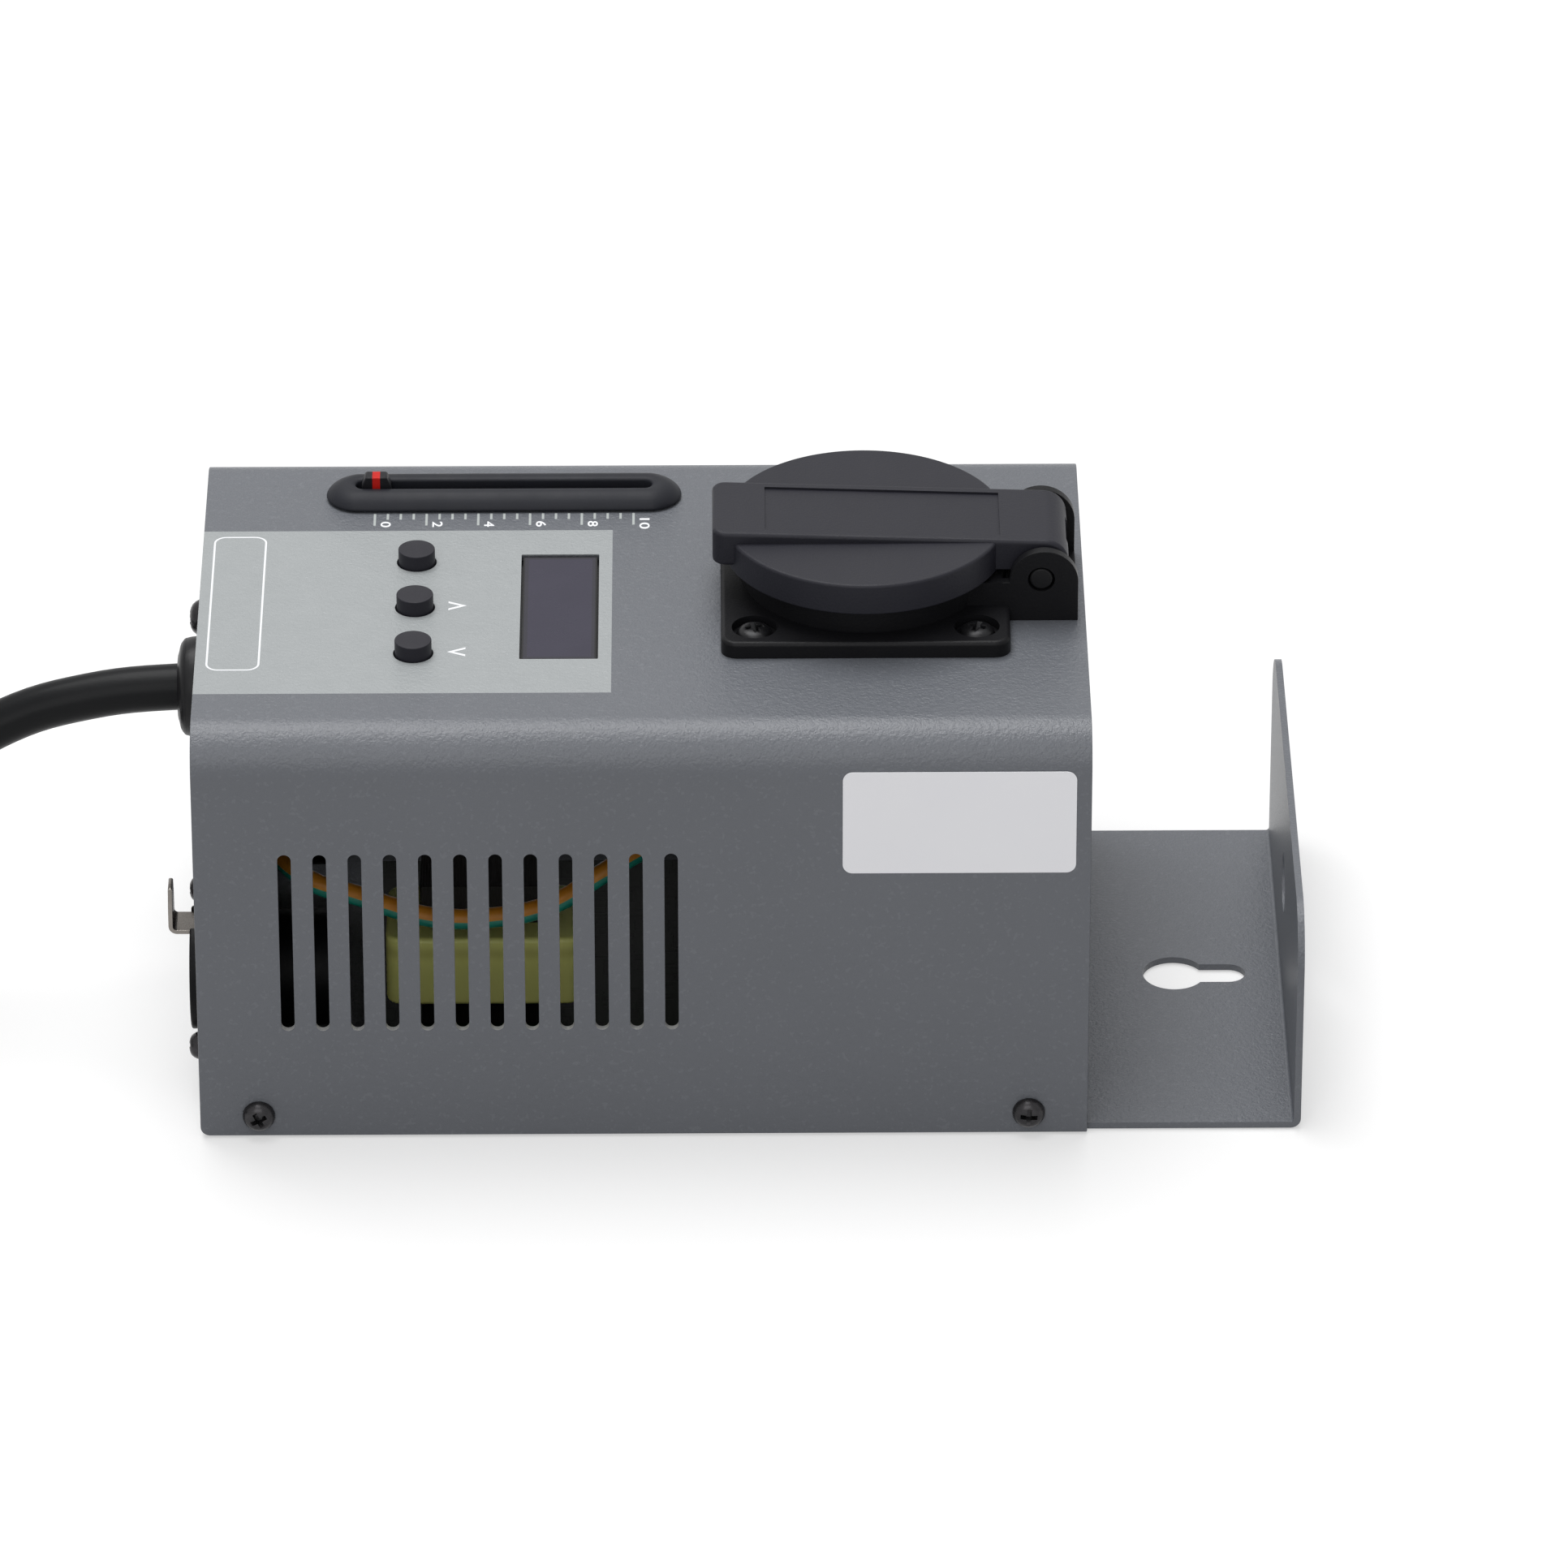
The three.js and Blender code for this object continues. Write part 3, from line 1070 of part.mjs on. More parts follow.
const exit = loops.at(-1);
const plugStart = [-170, -52, plugAxisHeight];
add('cord_tail', tube([
  [exit.x, exit.y - fit, exit.z],
  [exit.x, 12, cordRadius],
  [exit.x, 0, cordRadius + 1],
  [-133, -18, cordRadius + 3.5],
  [-139, -36, cordRadius + 7.5],
  [-151.5, -48.5, plugAxisHeight - 2.2],
  [plugStart[0] + 6, plugStart[1], plugAxisHeight],
  [plugStart[0] + fit, plugStart[1], plugAxisHeight],
], cordRadius, 12, 10), 'rubber');

// Straight mains plug lying on its side, its pins pointing away from the case.
function makePlug() {
  const { sleeve, sleeveLength, shoulder, shoulderLength, body, bodyLength, face, faceLength } = plug;
  const shoulderEnd = sleeveLength + shoulderLength;
  const bodyEnd = shoulderEnd + bodyLength;
  const faceEnd = bodyEnd + faceLength;
  const shell = turnedSolid([
    [0, 0], [cordRadius + sheet, 0], [sleeve, sleeveLength], [shoulder, sleeveLength + shoulderLength / 2],
    [body, shoulderEnd], [body, bodyEnd], [face, bodyEnd], [face, faceEnd], [0, faceEnd],
  ], 24);
  const pins = [-1, 1].map((side) => {
    return plate(circle((side * plug.pinSpacing) / 2, 0, plug.pin, smallSides), 'flat', bodyEnd, faceEnd + plug.pinLength);
  });
  return joined(shell, ...pins);
}

add('mains_plug', makePlug(), 'rubber', plugStart, [0, -Math.PI / 2, 0]);

export default group;
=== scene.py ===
import bpy
import bmesh
import math
from mathutils import Matrix, Vector


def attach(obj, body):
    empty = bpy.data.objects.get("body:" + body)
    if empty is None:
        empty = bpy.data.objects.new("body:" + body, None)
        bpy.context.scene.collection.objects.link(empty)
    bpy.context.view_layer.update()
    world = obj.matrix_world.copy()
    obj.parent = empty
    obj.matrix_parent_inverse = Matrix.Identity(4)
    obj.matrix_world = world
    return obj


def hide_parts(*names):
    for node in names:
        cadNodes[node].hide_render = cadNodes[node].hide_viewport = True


# Dimmer pack with a hinged-lid outlet. Shapes are drawn in millimetres and made metres by finishPiece.
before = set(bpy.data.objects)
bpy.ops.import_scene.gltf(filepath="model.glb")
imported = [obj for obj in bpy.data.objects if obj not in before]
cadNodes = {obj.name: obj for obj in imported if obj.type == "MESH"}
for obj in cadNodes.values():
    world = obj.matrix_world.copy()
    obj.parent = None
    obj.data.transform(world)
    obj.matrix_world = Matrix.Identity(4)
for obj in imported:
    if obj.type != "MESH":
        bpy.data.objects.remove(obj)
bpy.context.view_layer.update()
print("frame loaded:", len(cadNodes), "nodes")

studio = {  # the camera as fitted to the photograph, the paper and the lamps
    "place": (0.0119, -1.7593, 1.0676), "pitch": 30.2775, "yaw": 0.41757, "roll": -0.03034, "focal": 14274.36,
    "picture": 1932, "sensor": 36, "near": 0.05, "sky": 0.35, "floor": 0.57, "floorGlow": 0.47, "floorHalf": 4,
    "floorZ": -0.0003, "aim": (0, 0, 0.05), "lamps": {  # place, width and power
        "softbox": ((-0.2, 0.5, 1.8), 1.2, 25), "overhead": ((-0.2, -0.45, 1.8), 0.9, 4.5),
        "filler": ((-0.25, -1.9, 1.3), 1.6, 13)},
}


def placed(name, data):
    item = bpy.data.objects.new(name, data)
    bpy.context.scene.collection.objects.link(item)
    return item


def makeCamera():
    v = studio
    pitch, yaw, roll = (math.radians(v[key]) for key in ("pitch", "yaw", "roll"))
    forward = Vector((math.sin(yaw) * math.cos(pitch), math.cos(yaw) * math.cos(pitch), -math.sin(pitch)))
    right = Vector((math.cos(yaw), -math.sin(yaw), 0))
    up = right.cross(forward)
    across = right * math.cos(roll) + up * math.sin(roll)
    upwards = up * math.cos(roll) - right * math.sin(roll)
    data = bpy.data.cameras.new("camera")
    data.sensor_fit = "HORIZONTAL"
    data.sensor_width = v["sensor"]
    data.lens = v["focal"] / v["picture"] * v["sensor"]
    data.clip_start = v["near"]
    camera = placed("camera", data)
    turn = Matrix((across, upwards, -forward)).transposed().to_4x4()
    camera.matrix_world = Matrix.Translation(v["place"]) @ turn
    bpy.context.scene.camera = camera


makeCamera()
bpy.context.scene.view_settings.view_transform = "Standard"
print("camera placed")


class Level:  # a socket that takes part in arithmetic
    def __init__(self, finish, socket):
        self.finish, self.socket = finish, socket

    def maths(self, operation, *values):
        return self.finish.node("ShaderNodeMath", {"operation": operation}, dict(enumerate(values)))

    def __add__(self, other):
        return self.maths("ADD", self, other)

    def __radd__(self, other):
        return self.maths("ADD", other, self)

    def __sub__(self, other):
        return self.maths("SUBTRACT", self, other)

    def __rsub__(self, other):
        return self.maths("SUBTRACT", other, self)

    def __mul__(self, other):
        return self.maths("MULTIPLY", self, other)

    def __rmul__(self, other):
        return self.maths("MULTIPLY", other, self)

    def __truediv__(self, other):
        return self.maths("DIVIDE", self, other)

    def __gt__(self, other):
        return self.maths("GREATER_THAN", self, other)

    def __lt__(self, other):
        return self.maths("LESS_THAN", self, other)

    def __abs__(self):
        return self.maths("ABSOLUTE", self)

    def __mod__(self, other):
        return self.maths("FLOORED_MODULO", self, other)


finishes = {}


class Finish:  # one material, kept in finishes under its name once it has its surface
    def __init__(self, name):
        self.material = bpy.data.materials.new(name)
        self.material.use_nodes = True
        self.tree = self.material.node_tree
        self.tree.nodes.clear()
        self.shader = self.tree.nodes.new("ShaderNodeBsdfPrincipled")
        output = self.tree.nodes.new("ShaderNodeOutputMaterial")
        self.tree.links.new(self.shader.outputs[0], output.inputs[0])
        self.place = self.node("ShaderNodeTexCoord", output="Object")

    def node(self, kind, settings=None, values=None, output=0):
        made = self.tree.nodes.new(kind)
        for key, value in (settings or {}).items():
            setattr(made, key, value)
        for key, value in (values or {}).items():
            self.feed(made.inputs[key], value)
        return Level(self, made.outputs[output])

    def feed(self, socket, value):
        if isinstance(value, Level):
            self.tree.links.new(value.socket, socket)
        else:
            socket.default_value = value

    def axis(self, index):  # one coordinate in millimetres
        return self.node("ShaderNodeSeparateXYZ", values={0: self.place}, output=index) * 1000

    def stretched(self, scale):
        return self.node("ShaderNodeMapping", values={"Vector": self.place, "Scale": scale})

    def noise(self, size, detail=2.0, rough=0.5, place=None):  # size of a patch in millimetres
        return self.node("ShaderNodeTexNoise", values={
            "Vector": place or self.place, "Scale": 1000 / size, "Detail": detail, "Roughness": rough})

    def between(self, value, low, high):  # 0 below low, 1 above high
        return self.node("ShaderNodeMapRange", {"interpolation_type": "SMOOTHSTEP"}, {
            "Value": value, "From Min": low, "From Max": high})

    def mix(self, share, first, second):
        made = self.tree.nodes.new("ShaderNodeMix")
        made.data_type = "RGBA"
        for index, value in ((0, share), (6, first), (7, second)):
            if index and not isinstance(value, Level):
                value = (*value, 1)
            self.feed(made.inputs[index], value)
        return Level(self, made.outputs[2])

    def bump(self, height, depth):  # depth in millimetres
        return self.node("ShaderNodeBump", values={"Height": height, "Distance": depth / 1000, "Strength": 1.0})

    def surface(self, colour, rough, specular, normal=None, metal=0.0):
        values = {"Base Color": colour, "Roughness": rough, "Specular IOR Level": specular, "Metallic": metal}
        if normal:
            values["Normal"] = normal
        for key, value in values.items():
            self.feed(self.shader.inputs[key], value)
        finishes[self.material.name] = self.material


paint = {
    "dark": (0.117, 0.125, 0.141), "light": (0.130, 0.138, 0.156), "cloudSize": 26, "fleck": (0.18, 0.19, 0.21),
    "fleckSize": 0.8, "fleckFrom": (0.60, 0.72), "fleckShare": 0.35, "peelSize": 0.7, "grainSize": 0.32,
    "peelShare": 0.6, "depth": 0.20, "rough": 0.36, "roughSpread": 0.16, "specular": 0.5,
}
field = {  # the light printed field on the top
    "x": (-90, -5.2), "y": (-35.5, 21.9), "above": 79.3, "dark": (0.326, 0.346, 0.352),
    "light": (0.362, 0.382, 0.388), "mottle": 5,
}


def paintFinish(name, printed=None):  # powder coat with orange peel
    v, finish = paint, Finish(name)
    peel = finish.noise(v["peelSize"], 1.5)
    grain = finish.noise(v["grainSize"], 2.0, 0.6)
    fleck = finish.between(finish.noise(v["fleckSize"], 1.0), *v["fleckFrom"])
    colour = finish.mix(finish.noise(v["cloudSize"]), v["dark"], v["light"])
    colour = finish.mix(fleck * v["fleckShare"], colour, v["fleck"])
    if printed:
        x, y, z = (finish.axis(k) for k in range(3))
        (x0, x1), (y0, y1) = printed["x"], printed["y"]
        mask = (x > x0) * (x < x1) * (y > y0) * (y < y1) * (z > printed["above"])
        ink = finish.mix(finish.noise(printed["mottle"], 2.0, 0.6), printed["dark"], printed["light"])
        colour = finish.mix(mask, colour, ink)
    height = peel * v["peelShare"] + grain * (1 - v["peelShare"])
    rough = v["rough"] + (grain - 0.5) * v["roughSpread"]
    finish.surface(colour, rough, v["specular"], finish.bump(height, v["depth"]))


# Moulded plastic with spark-eroded grain and slight sheen changes
def plasticFinish(name, dark, light, grain, patch, rough, spread, specular, depth):
    finish = Finish(name)
    sheen = finish.noise(patch, 3.0, 0.55)
    rub = finish.noise(patch / 3, place=finish.stretched((1, 0.25, 1)))
    finish.surface(
        finish.mix(sheen, dark, light), rough + (sheen - 0.5) * spread + (rub - 0.5) * spread, specular,
        finish.bump(finish.noise(grain, 2.0, 0.6), depth))


# Bare or plated metal with fine scratches and dull patches
def metalFinish(name, dark, light, patch, scratch, along, rough, spread, metal, depth):
    finish = Finish(name)
    dull = finish.noise(patch, 3.0, 0.6)
    lines = finish.noise(scratch, 2.0, 0.6, finish.stretched(along))
    finish.surface(
        finish.mix(dull, dark, light), rough + (dull - 0.5) * spread + (lines - 0.5) * spread, 0.5,
        finish.bump(lines, depth), metal)


plastics = {  # dark, light, grain, patch, roughness, its spread, specular, depth of the grain
    "outletPlastic": ((0.0065, 0.0065, 0.0075), (0.0095, 0.0095, 0.011), 0.5, 14, 0.42, 0.14, 0.13, 0.045),
    "lidPlastic": ((0.015, 0.015, 0.021), (0.020, 0.020, 0.027), 0.45, 16, 0.48, 0.12, 0.22, 0.04),
    "smallPlastic": ((0.007, 0.007, 0.008), (0.012, 0.012, 0.013), 0.3, 7, 0.4, 0.15, 0.16, 0.015),
    "connectorPlastic": ((0.005, 0.005, 0.006), (0.009, 0.009, 0.010), 0.4, 9, 0.45, 0.15, 0.12, 0.02),
    "reliefPlastic": ((0.008, 0.008, 0.009), (0.013, 0.013, 0.014), 0.5, 8, 0.36, 0.16, 0.2, 0.02),
    "buttonPlastic": ((0.013, 0.0125, 0.018), (0.017, 0.0165, 0.023), 0.25, 4, 0.5, 0.1, 0.24, 0.02),
    "bezelRubber": ((0.012, 0.013, 0.017), (0.017, 0.018, 0.024), 0.45, 10, 0.5, 0.14, 0.2, 0.02),
    "gasketRubber": ((0.018, 0.018, 0.018), (0.028, 0.028, 0.027), 0.5, 6, 0.75, 0.15, 0.25, 0.04),
    "plugRubber": ((0.010, 0.010, 0.011), (0.017, 0.017, 0.018), 0.4, 12, 0.5, 0.15, 0.3, 0.03),
    "terminalPlastic": ((0.030, 0.16, 0.07), (0.040, 0.20, 0.09), 0.3, 6, 0.45, 0.12, 0.4, 0.02),
    "capacitorCase": ((0.55, 0.38, 0.035), (0.66, 0.46, 0.05), 0.4, 8, 0.35, 0.12, 0.5, 0.02),
}
metals = {  # dark, light, patch, scratch, its stretch, roughness, its spread, metal, depth of the scratches
    "blackScrew": ((0.020, 0.020, 0.022), (0.055, 0.052, 0.055), 1.6, 0.5, (1, 1, 3), 0.27, 0.16, 0.75, 0.01),
    "blackedScrew": ((0.006, 0.006, 0.007), (0.016, 0.016, 0.018), 1.6, 0.4, (1, 1, 3), 0.36, 0.16, 0.5, 0.01),
    "brightSteel": ((0.42, 0.43, 0.44), (0.62, 0.63, 0.65), 5, 0.6, (1, 6, 1), 0.30, 0.18, 1.0, 0.01),
    "latchSteel": ((0.16, 0.145, 0.13), (0.30, 0.28, 0.26), 3, 0.5, (1, 1, 5), 0.26, 0.2, 1.0, 0.012),
    "brassMetal": ((0.50, 0.33, 0.11), (0.70, 0.50, 0.20), 4, 0.5, (1, 1, 5), 0.26, 0.18, 1.0, 0.01),
    "bareAluminium": ((0.50, 0.51, 0.52), (0.66, 0.67, 0.68), 9, 0.7, (8, 8, 0.6), 0.38, 0.18, 1.0, 0.02),
    # cut vent ends: bare metal, paler than it is, as painted light on the faces that look up
    "cutSteelPaintedLight": ((0.40, 0.40, 0.40), (0.75, 0.75, 0.74), 0.7, 0.3, (1, 0.4, 1), 0.55, 0.2, 0.2, 0.08),
}
paintFinish("coverPaint", field)
paintFinish("casePaint")
for name, values in plastics.items():
    plasticFinish(name, *values)
for name, values in metals.items():
    metalFinish(name, *values)
print("finishes mixed")

weldGap = 0.0008
planeTurns = {
    "flat": Matrix.Identity(4),
    "long": Matrix(((1, 0, 0, 0), (0, 0, 1, 0), (0, 1, 0, 0), (0, 0, 0, 1))),
    "cross": Matrix(((0, 0, 1, 0), (1, 0, 0, 0), (0, 1, 0, 0), (0, 0, 0, 1))),
}


def shifted(x=0, y=0, z=0):
    return Matrix.Translation((x, y, z))


def onPanel(y, z):  # from a turned shape's upright to the left end's outward normal
    return shifted(case["left"], y, z) @ Matrix.Rotation(-math.pi / 2, 4, "Y")


def welded(bm):
    bmesh.ops.remove_doubles(bm, verts=bm.verts, dist=weldGap)
    return bm


def settled(bm, turn=None):  # turned into place, welded, with its faces outwards
    if turn:
        bmesh.ops.transform(bm, matrix=turn, verts=bm.verts)
    welded(bm)
    bmesh.ops.recalc_face_normals(bm, faces=bm.faces)
    return bm


def rectangle(x0, x1, y0, y1, radius=0):
    return [(x0, y0, radius), (x1, y0, radius), (x1, y1, radius), (x0, y1, radius)]


def around(x, y, halfX, halfY, radius=0):
    return rectangle(x - halfX, x + halfX, y - halfY, y + halfY, radius)


def onSide(side, near, far):  # two distances from the middle, as rising places
    return sorted((side * near, side * far))


def rounded(bm, verts, points, segments):  # a point's third value is the radius of its corner
    radii = [point[2] if len(point) > 2 else 0 for point in points]
    for radius in sorted(set(radii) - {0}):
        picked = [vert for vert, size in zip(verts, radii) if size == radius]
        bmesh.ops.bevel(
            bm, geom=picked, offset=radius, affect="VERTICES", segments=segments, profile=0.5, material=-1)


def raised(bm, height):
    made = bmesh.ops.extrude_face_region(bm, geom=bm.faces[:])
    moved = [part for part in made["geom"] if isinstance(part, bmesh.types.BMVert)]
    bmesh.ops.translate(bm, vec=(0, 0, height), verts=moved)


# A plate with rounded corners: flat is drawn in X and Y, long in X and Z, cross in Y and Z
def plate(corners, low, high, plane="flat", segments=8):
    bm = bmesh.new()
    verts = [bm.verts.new((corner[0], corner[1], low)) for corner in corners]
    bm.faces.new(verts)
    rounded(bm, verts, corners, segments)
    raised(welded(bm), high - low)
    return settled(bm, planeTurns[plane])


def disc(a, b, radius, low, high, plane="flat", sides=64):
    bm = bmesh.new()
    bmesh.ops.create_cone(
        bm, cap_ends=True, segments=sides, radius1=radius, radius2=radius, depth=high - low,
        matrix=shifted(a, b, (low + high) / 2))
    return settled(bm, planeTurns[plane])


# A turned shape about Z from (radius, height, rounding) points; one that never meets the axis closes to a ring
def turned(profile, sides=64, segments=5, turn=None):
    bm = bmesh.new()
    verts = [bm.verts.new((point[0], 0, point[1])) for point in profile]
    pairs = list(zip(verts, verts[1:]))
    if profile[0][0] > 0:
        pairs.append((verts[-1], verts[0]))
    for pair in pairs:
        bm.edges.new(pair)
    rounded(bm, verts, profile, segments)
    bmesh.ops.spin(
        bm, geom=bm.verts[:] + bm.edges[:], cent=(0, 0, 0), axis=(0, 0, 1), angle=2 * math.pi, steps=sides,
        use_merge=True)
    return settled(bm, turn)


def gathered(shapes):  # shapes that don't touch, as one
    whole = bmesh.new()
    for shape in shapes:
        mesh = bpy.data.meshes.new("part")
        shape.to_mesh(mesh)
        shape.free()
        whole.from_mesh(mesh)
        bpy.data.meshes.remove(mesh)
    return whole


def combined(bm, tools, operation):
    for tool in tools:
        made = []
        for shape in (bm, tool):
            mesh = bpy.data.meshes.new("part")
            shape.to_mesh(mesh)
            shape.free()
            made.append(placed("part", mesh))
        boolean = made[0].modifiers.new("boolean", "BOOLEAN")
        boolean.operation, boolean.solver, boolean.object = operation, "EXACT", made[1]
        bm = bmesh.new()
        bm.from_object(made[0], bpy.context.evaluated_depsgraph_get())
        for other in made:
            mesh = other.data
            bpy.data.objects.remove(other)
            bpy.data.meshes.remove(mesh)
        welded(bm)
        bmesh.ops.dissolve_limit(bm, angle_limit=math.radians(0.2), verts=bm.verts, edges=bm.edges)
    return bm


def carved(bm, *tools):
    return combined(bm, tools, "DIFFERENCE")


def fused(bm, *others):
    return combined(bm, others, "UNION")


# Bevels the edges whose faces meet at more than sharper degrees and whose middle passes where
def softened(bm, width, segments=2, sharper=30, where=None):
    edges = []
    for edge in bm.edges:
        middle = (edge.verts[0].co + edge.verts[1].co) / 2
        if len(edge.link_faces) == 2 and edge.calc_face_angle() > math.radians(sharper):
            if where is None or where(middle):
                edges.append(edge)
    bmesh.ops.bevel(
        bm, geom=edges, offset=width, affect="EDGES", segments=segments, profile=0.5, material=-1,
        clamp_overlap=True)
    return welded(bm)


def drawn(curve):  # a curve or text as a bmesh
    holder = placed("drawn", curve)
    mesh = bpy.data.meshes.new_from_object(holder.evaluated_get(bpy.context.evaluated_depsgraph_get()))
    bm = bmesh.new()
    bm.from_mesh(mesh)
    bpy.data.objects.remove(holder)
    bpy.data.meshes.remove(mesh)
    return welded(bm)


def strand(name, points, radius, resolution, ring):  # a round cord through the points
    curve = bpy.data.curves.new(name, "CURVE")
    curve.dimensions = "3D"
    curve.resolution_u = resolution
    curve.bevel_depth = radius
    curve.bevel_resolution = ring
    curve.use_fill_caps = True
    spline = curve.splines.new("BEZIER")
    spline.bezier_points.add(len(points) - 1)
    for point, place in zip(spline.bezier_points, points):
        point.co = place
        point.handle_left_type = point.handle_right_type = "AUTO"
    return curve


def finishPiece(bm, name, slot, finish, *nodes, body="case", sharpFrom=35):
    bmesh.ops.scale(bm, vec=(0.001, 0.001, 0.001), verts=bm.verts)
    mesh = bpy.data.meshes.new(name)
    bm.to_mesh(mesh)
    bm.free()
    mesh.materials.append(finishes[finish])
    mesh.shade_smooth()
    mesh.set_sharp_from_angle(angle=math.radians(sharpFrom))
    piece = placed(name, mesh)
    weights = piece.modifiers.new("weights", "WEIGHTED_NORMAL")
    weights.keep_sharp = True
    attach(piece, body)
    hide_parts(*nodes)
    return piece


def copyOf(node):  # a CAD node's mesh, welded, in millimetres
    bm = bmesh.new()
    bm.from_mesh(cadNodes[node].data)
    bmesh.ops.scale(bm, vec=(1000, 1000, 1000), verts=bm.verts)
    bmesh.ops.remove_doubles(bm, verts=bm.verts, dist=0.001)
    bmesh.ops.dissolve_limit(bm, angle_limit=math.radians(0.5), verts=bm.verts, edges=bm.edges)
    return bm


# The lead: out of the bush, down to the coil beside the case, and on to the plug
cord = {
    "radius": 4.1, "length": 1.5, "coilX": -186, "coilY": 29, "coilOuter": 54, "loops": 4.75, "pitch": 8.8,
    "stepsPerLoop": 24,
    "lead": [
        (-68, 0, 60.7), (-81.2, 0, 60.7), (-97, 0, 58.8), (-111.5, -0.5, 54.2), (-123, -2.6, 47.2),
        (-137, -8.4, 34.8), (-151, -16.2, 22.2), (-160, -20.8, 16.4), (-168, -23.8, 13.6), (-177.5, -25, 12.9)],
    "tail": [
        (-132, 12, 4.1), (-132, 0, 5.1), (-133, -18, 7.6), (-139, -36, 11.6), (-151.5, -48.5, 16.4),
        (-164, -52, 18.6), (-171.5, -52, 18.6)],
}
plug = {
    "place": (-170, -52, 18.6), "neck": 5.3, "sleeve": 6.2, "sleeveLength": 16, "shoulder": 13,
    "shoulderLength": 8, "body": 18.6, "bodyLength": 26, "face": 16.5, "faceLength": 2, "pin": 2.4,
    "pinLength": 19, "pinSpacing": 19, "ribs": 6, "ribPitch": 2.4, "grips": 10, "gripPitch": 1.9,
}


def cordRoute():
    turn = cord["loops"] * 2 * math.pi
    count = round(cord["loops"] * cord["stepsPerLoop"])
    inner = cord["coilOuter"] - cord["loops"] / 2 * cord["pitch"]
    coil = []
    for k in range(count + 1):
        angle = turn * k / count
        radius = inner + abs(angle - turn / 2) / (2 * math.pi) * cord["pitch"]
        climb = min(max((angle - turn / 2) / math.pi + 0.5, 0), 1)
        azimuth = -math.pi / 2 - angle
        coil.append((
            cord["coilX"] + radius * math.cos(azimuth), cord["coilY"] + radius * math.sin(azimuth),
            cord["radius"] + cord["pitch"] * (1 - climb)))
    return cord["lead"] + coil + cord["tail"]


def rubberFinish():  # extruded sheath with dull patches
    finish = Finish("cordRubber")
    patch = finish.noise(18, 3.0, 0.6)
    finish.surface(
        finish.mix(patch, (0.005, 0.0053, 0.006), (0.0085, 0.009, 0.010)), 0.36 + (patch - 0.5) * 0.18, 0.13,
        finish.bump(finish.noise(0.5, 2.0, 0.6), 0.02))


def makePlug():
    v = plug
    shoulderEnd = v["sleeveLength"] + v["shoulderLength"]
    bodyEnd = shoulderEnd + v["bodyLength"]
    faceEnd = bodyEnd + v["faceLength"]
    profile = [(0, 0), (v["neck"], 0, 0.6)]
    for k in range(v["ribs"]):  # soft rings of the bend sleeve
        z = 1.4 + k * v["ribPitch"]
        r = v["neck"] + (v["sleeve"] - v["neck"]) * z / v["sleeveLength"]
        profile += [(r, z, 0.2), (r - 0.7, z + 0.3, 0.2), (r - 0.7, z + 1.1, 0.2), (r, z + 1.4, 0.2)]
    profile += [
        (v["sleeve"], v["sleeveLength"], 0.5), (v["shoulder"], v["sleeveLength"] + v["shoulderLength"] / 2, 2),
        (v["body"], shoulderEnd + 1, 2.5), (v["body"], bodyEnd, 0.8), (v["face"] + 0.4, bodyEnd, 0.2),
        (v["face"], bodyEnd + 0.3, 0.2), (v["face"], faceEnd, 0.6), (0, faceEnd)]
    shell = turned(profile, 72)
    grips, notches = [], []
    for k in range(v["grips"]):
        z = shoulderEnd + 4 + k * v["gripPitch"]
        for side in (-1, 1):
            middle = side * v["body"]
            grips.append(plate(rectangle(-9, 9, z, z + 0.8, 0.3), middle - 0.7, middle + 0.7, "long"))
    for side in (-1, 1):
        middle = side * (v["face"] + 1.1)
        notches.append(plate(rectangle(-3, 3, bodyEnd - 14, faceEnd + 1), middle - 1.1, middle + 1.5, "long"))
    turn = Matrix.Translation(v["place"]) @ Matrix.Rotation(-math.pi / 2, 4, "Y")
    shell = settled(carved(shell, gathered(grips), gathered(notches)), turn)
    body = finishPiece(shell, "plugShell", "plug_rubber", "plugRubber", "mains_plug")
    pins = []
    for side in (-1, 1):
        pins.append(turned(
            [(0, bodyEnd), (v["pin"], bodyEnd), (v["pin"], faceEnd + v["pinLength"], 1.4),
             (0, faceEnd + v["pinLength"])], 32, turn=turn @ shifted(side * v["pinSpacing"] / 2)))
        middle = side * (v["face"] + 0.4)
        strip = rectangle(-2.4, 2.4, bodyEnd - 13, bodyEnd + 0.6, 0.4)
        pins.append(settled(plate(strip, middle - 0.3, middle + 0.3, "long"), turn))
    return body, finishPiece(gathered(pins), "plugPins", "brass", "brightSteel")


def makeCord():
    rubberFinish()
    route = [Vector(place) / 1000 for place in cordRoute()]
    curve = strand("lead", route, cord["radius"] / 1000, 6, 8)
    curve.materials.append(finishes["cordRubber"])
    lead = placed("lead", curve)
    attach(lead, "case")
    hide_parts("cord_lead", "cord_coil", "cord_tail")
    body, pins = makePlug()


makeCord()
print("lead laid")

case = {
    "left": -77, "right": 77, "front": -51.5, "back": 51.5, "top": 79.5, "sheet": 1.2, "fit": 0.3, "bend": 8,
    "foldBend": 1.8, "insideHalf": 50, "panelTop": 78, "reach": 114.2, "flangeHeight": 41, "flangeCorner": 10,
    "flangeHole": 5.25, "flangeHoleHeight": 20, "keyX": 93.9, "keyRadius": 5.5, "keySlot": 3, "keyReach": 9.7,
    "lip": 10, "lipInset": 2.2, "footCorner": 1.7,
}
vents = {"count": 12, "x": -61.35, "pitch": 6.03, "width": 2.35, "height": 35.3, "bottom": 21.5}
openings = {  # radii, the fader's slot by its halves and the window by its sides
    "fader": (27, 2.75), "outlet": 22.05, "button": 3.5, "window": (-21.1, -7.5, -23.8, 13.2, 0.25),
    "screw": 1.8, "gland": 6.35, "earth": 2.3, "fuse": 5.9, "data": 11.05, "dataScrew": 1.5,
}
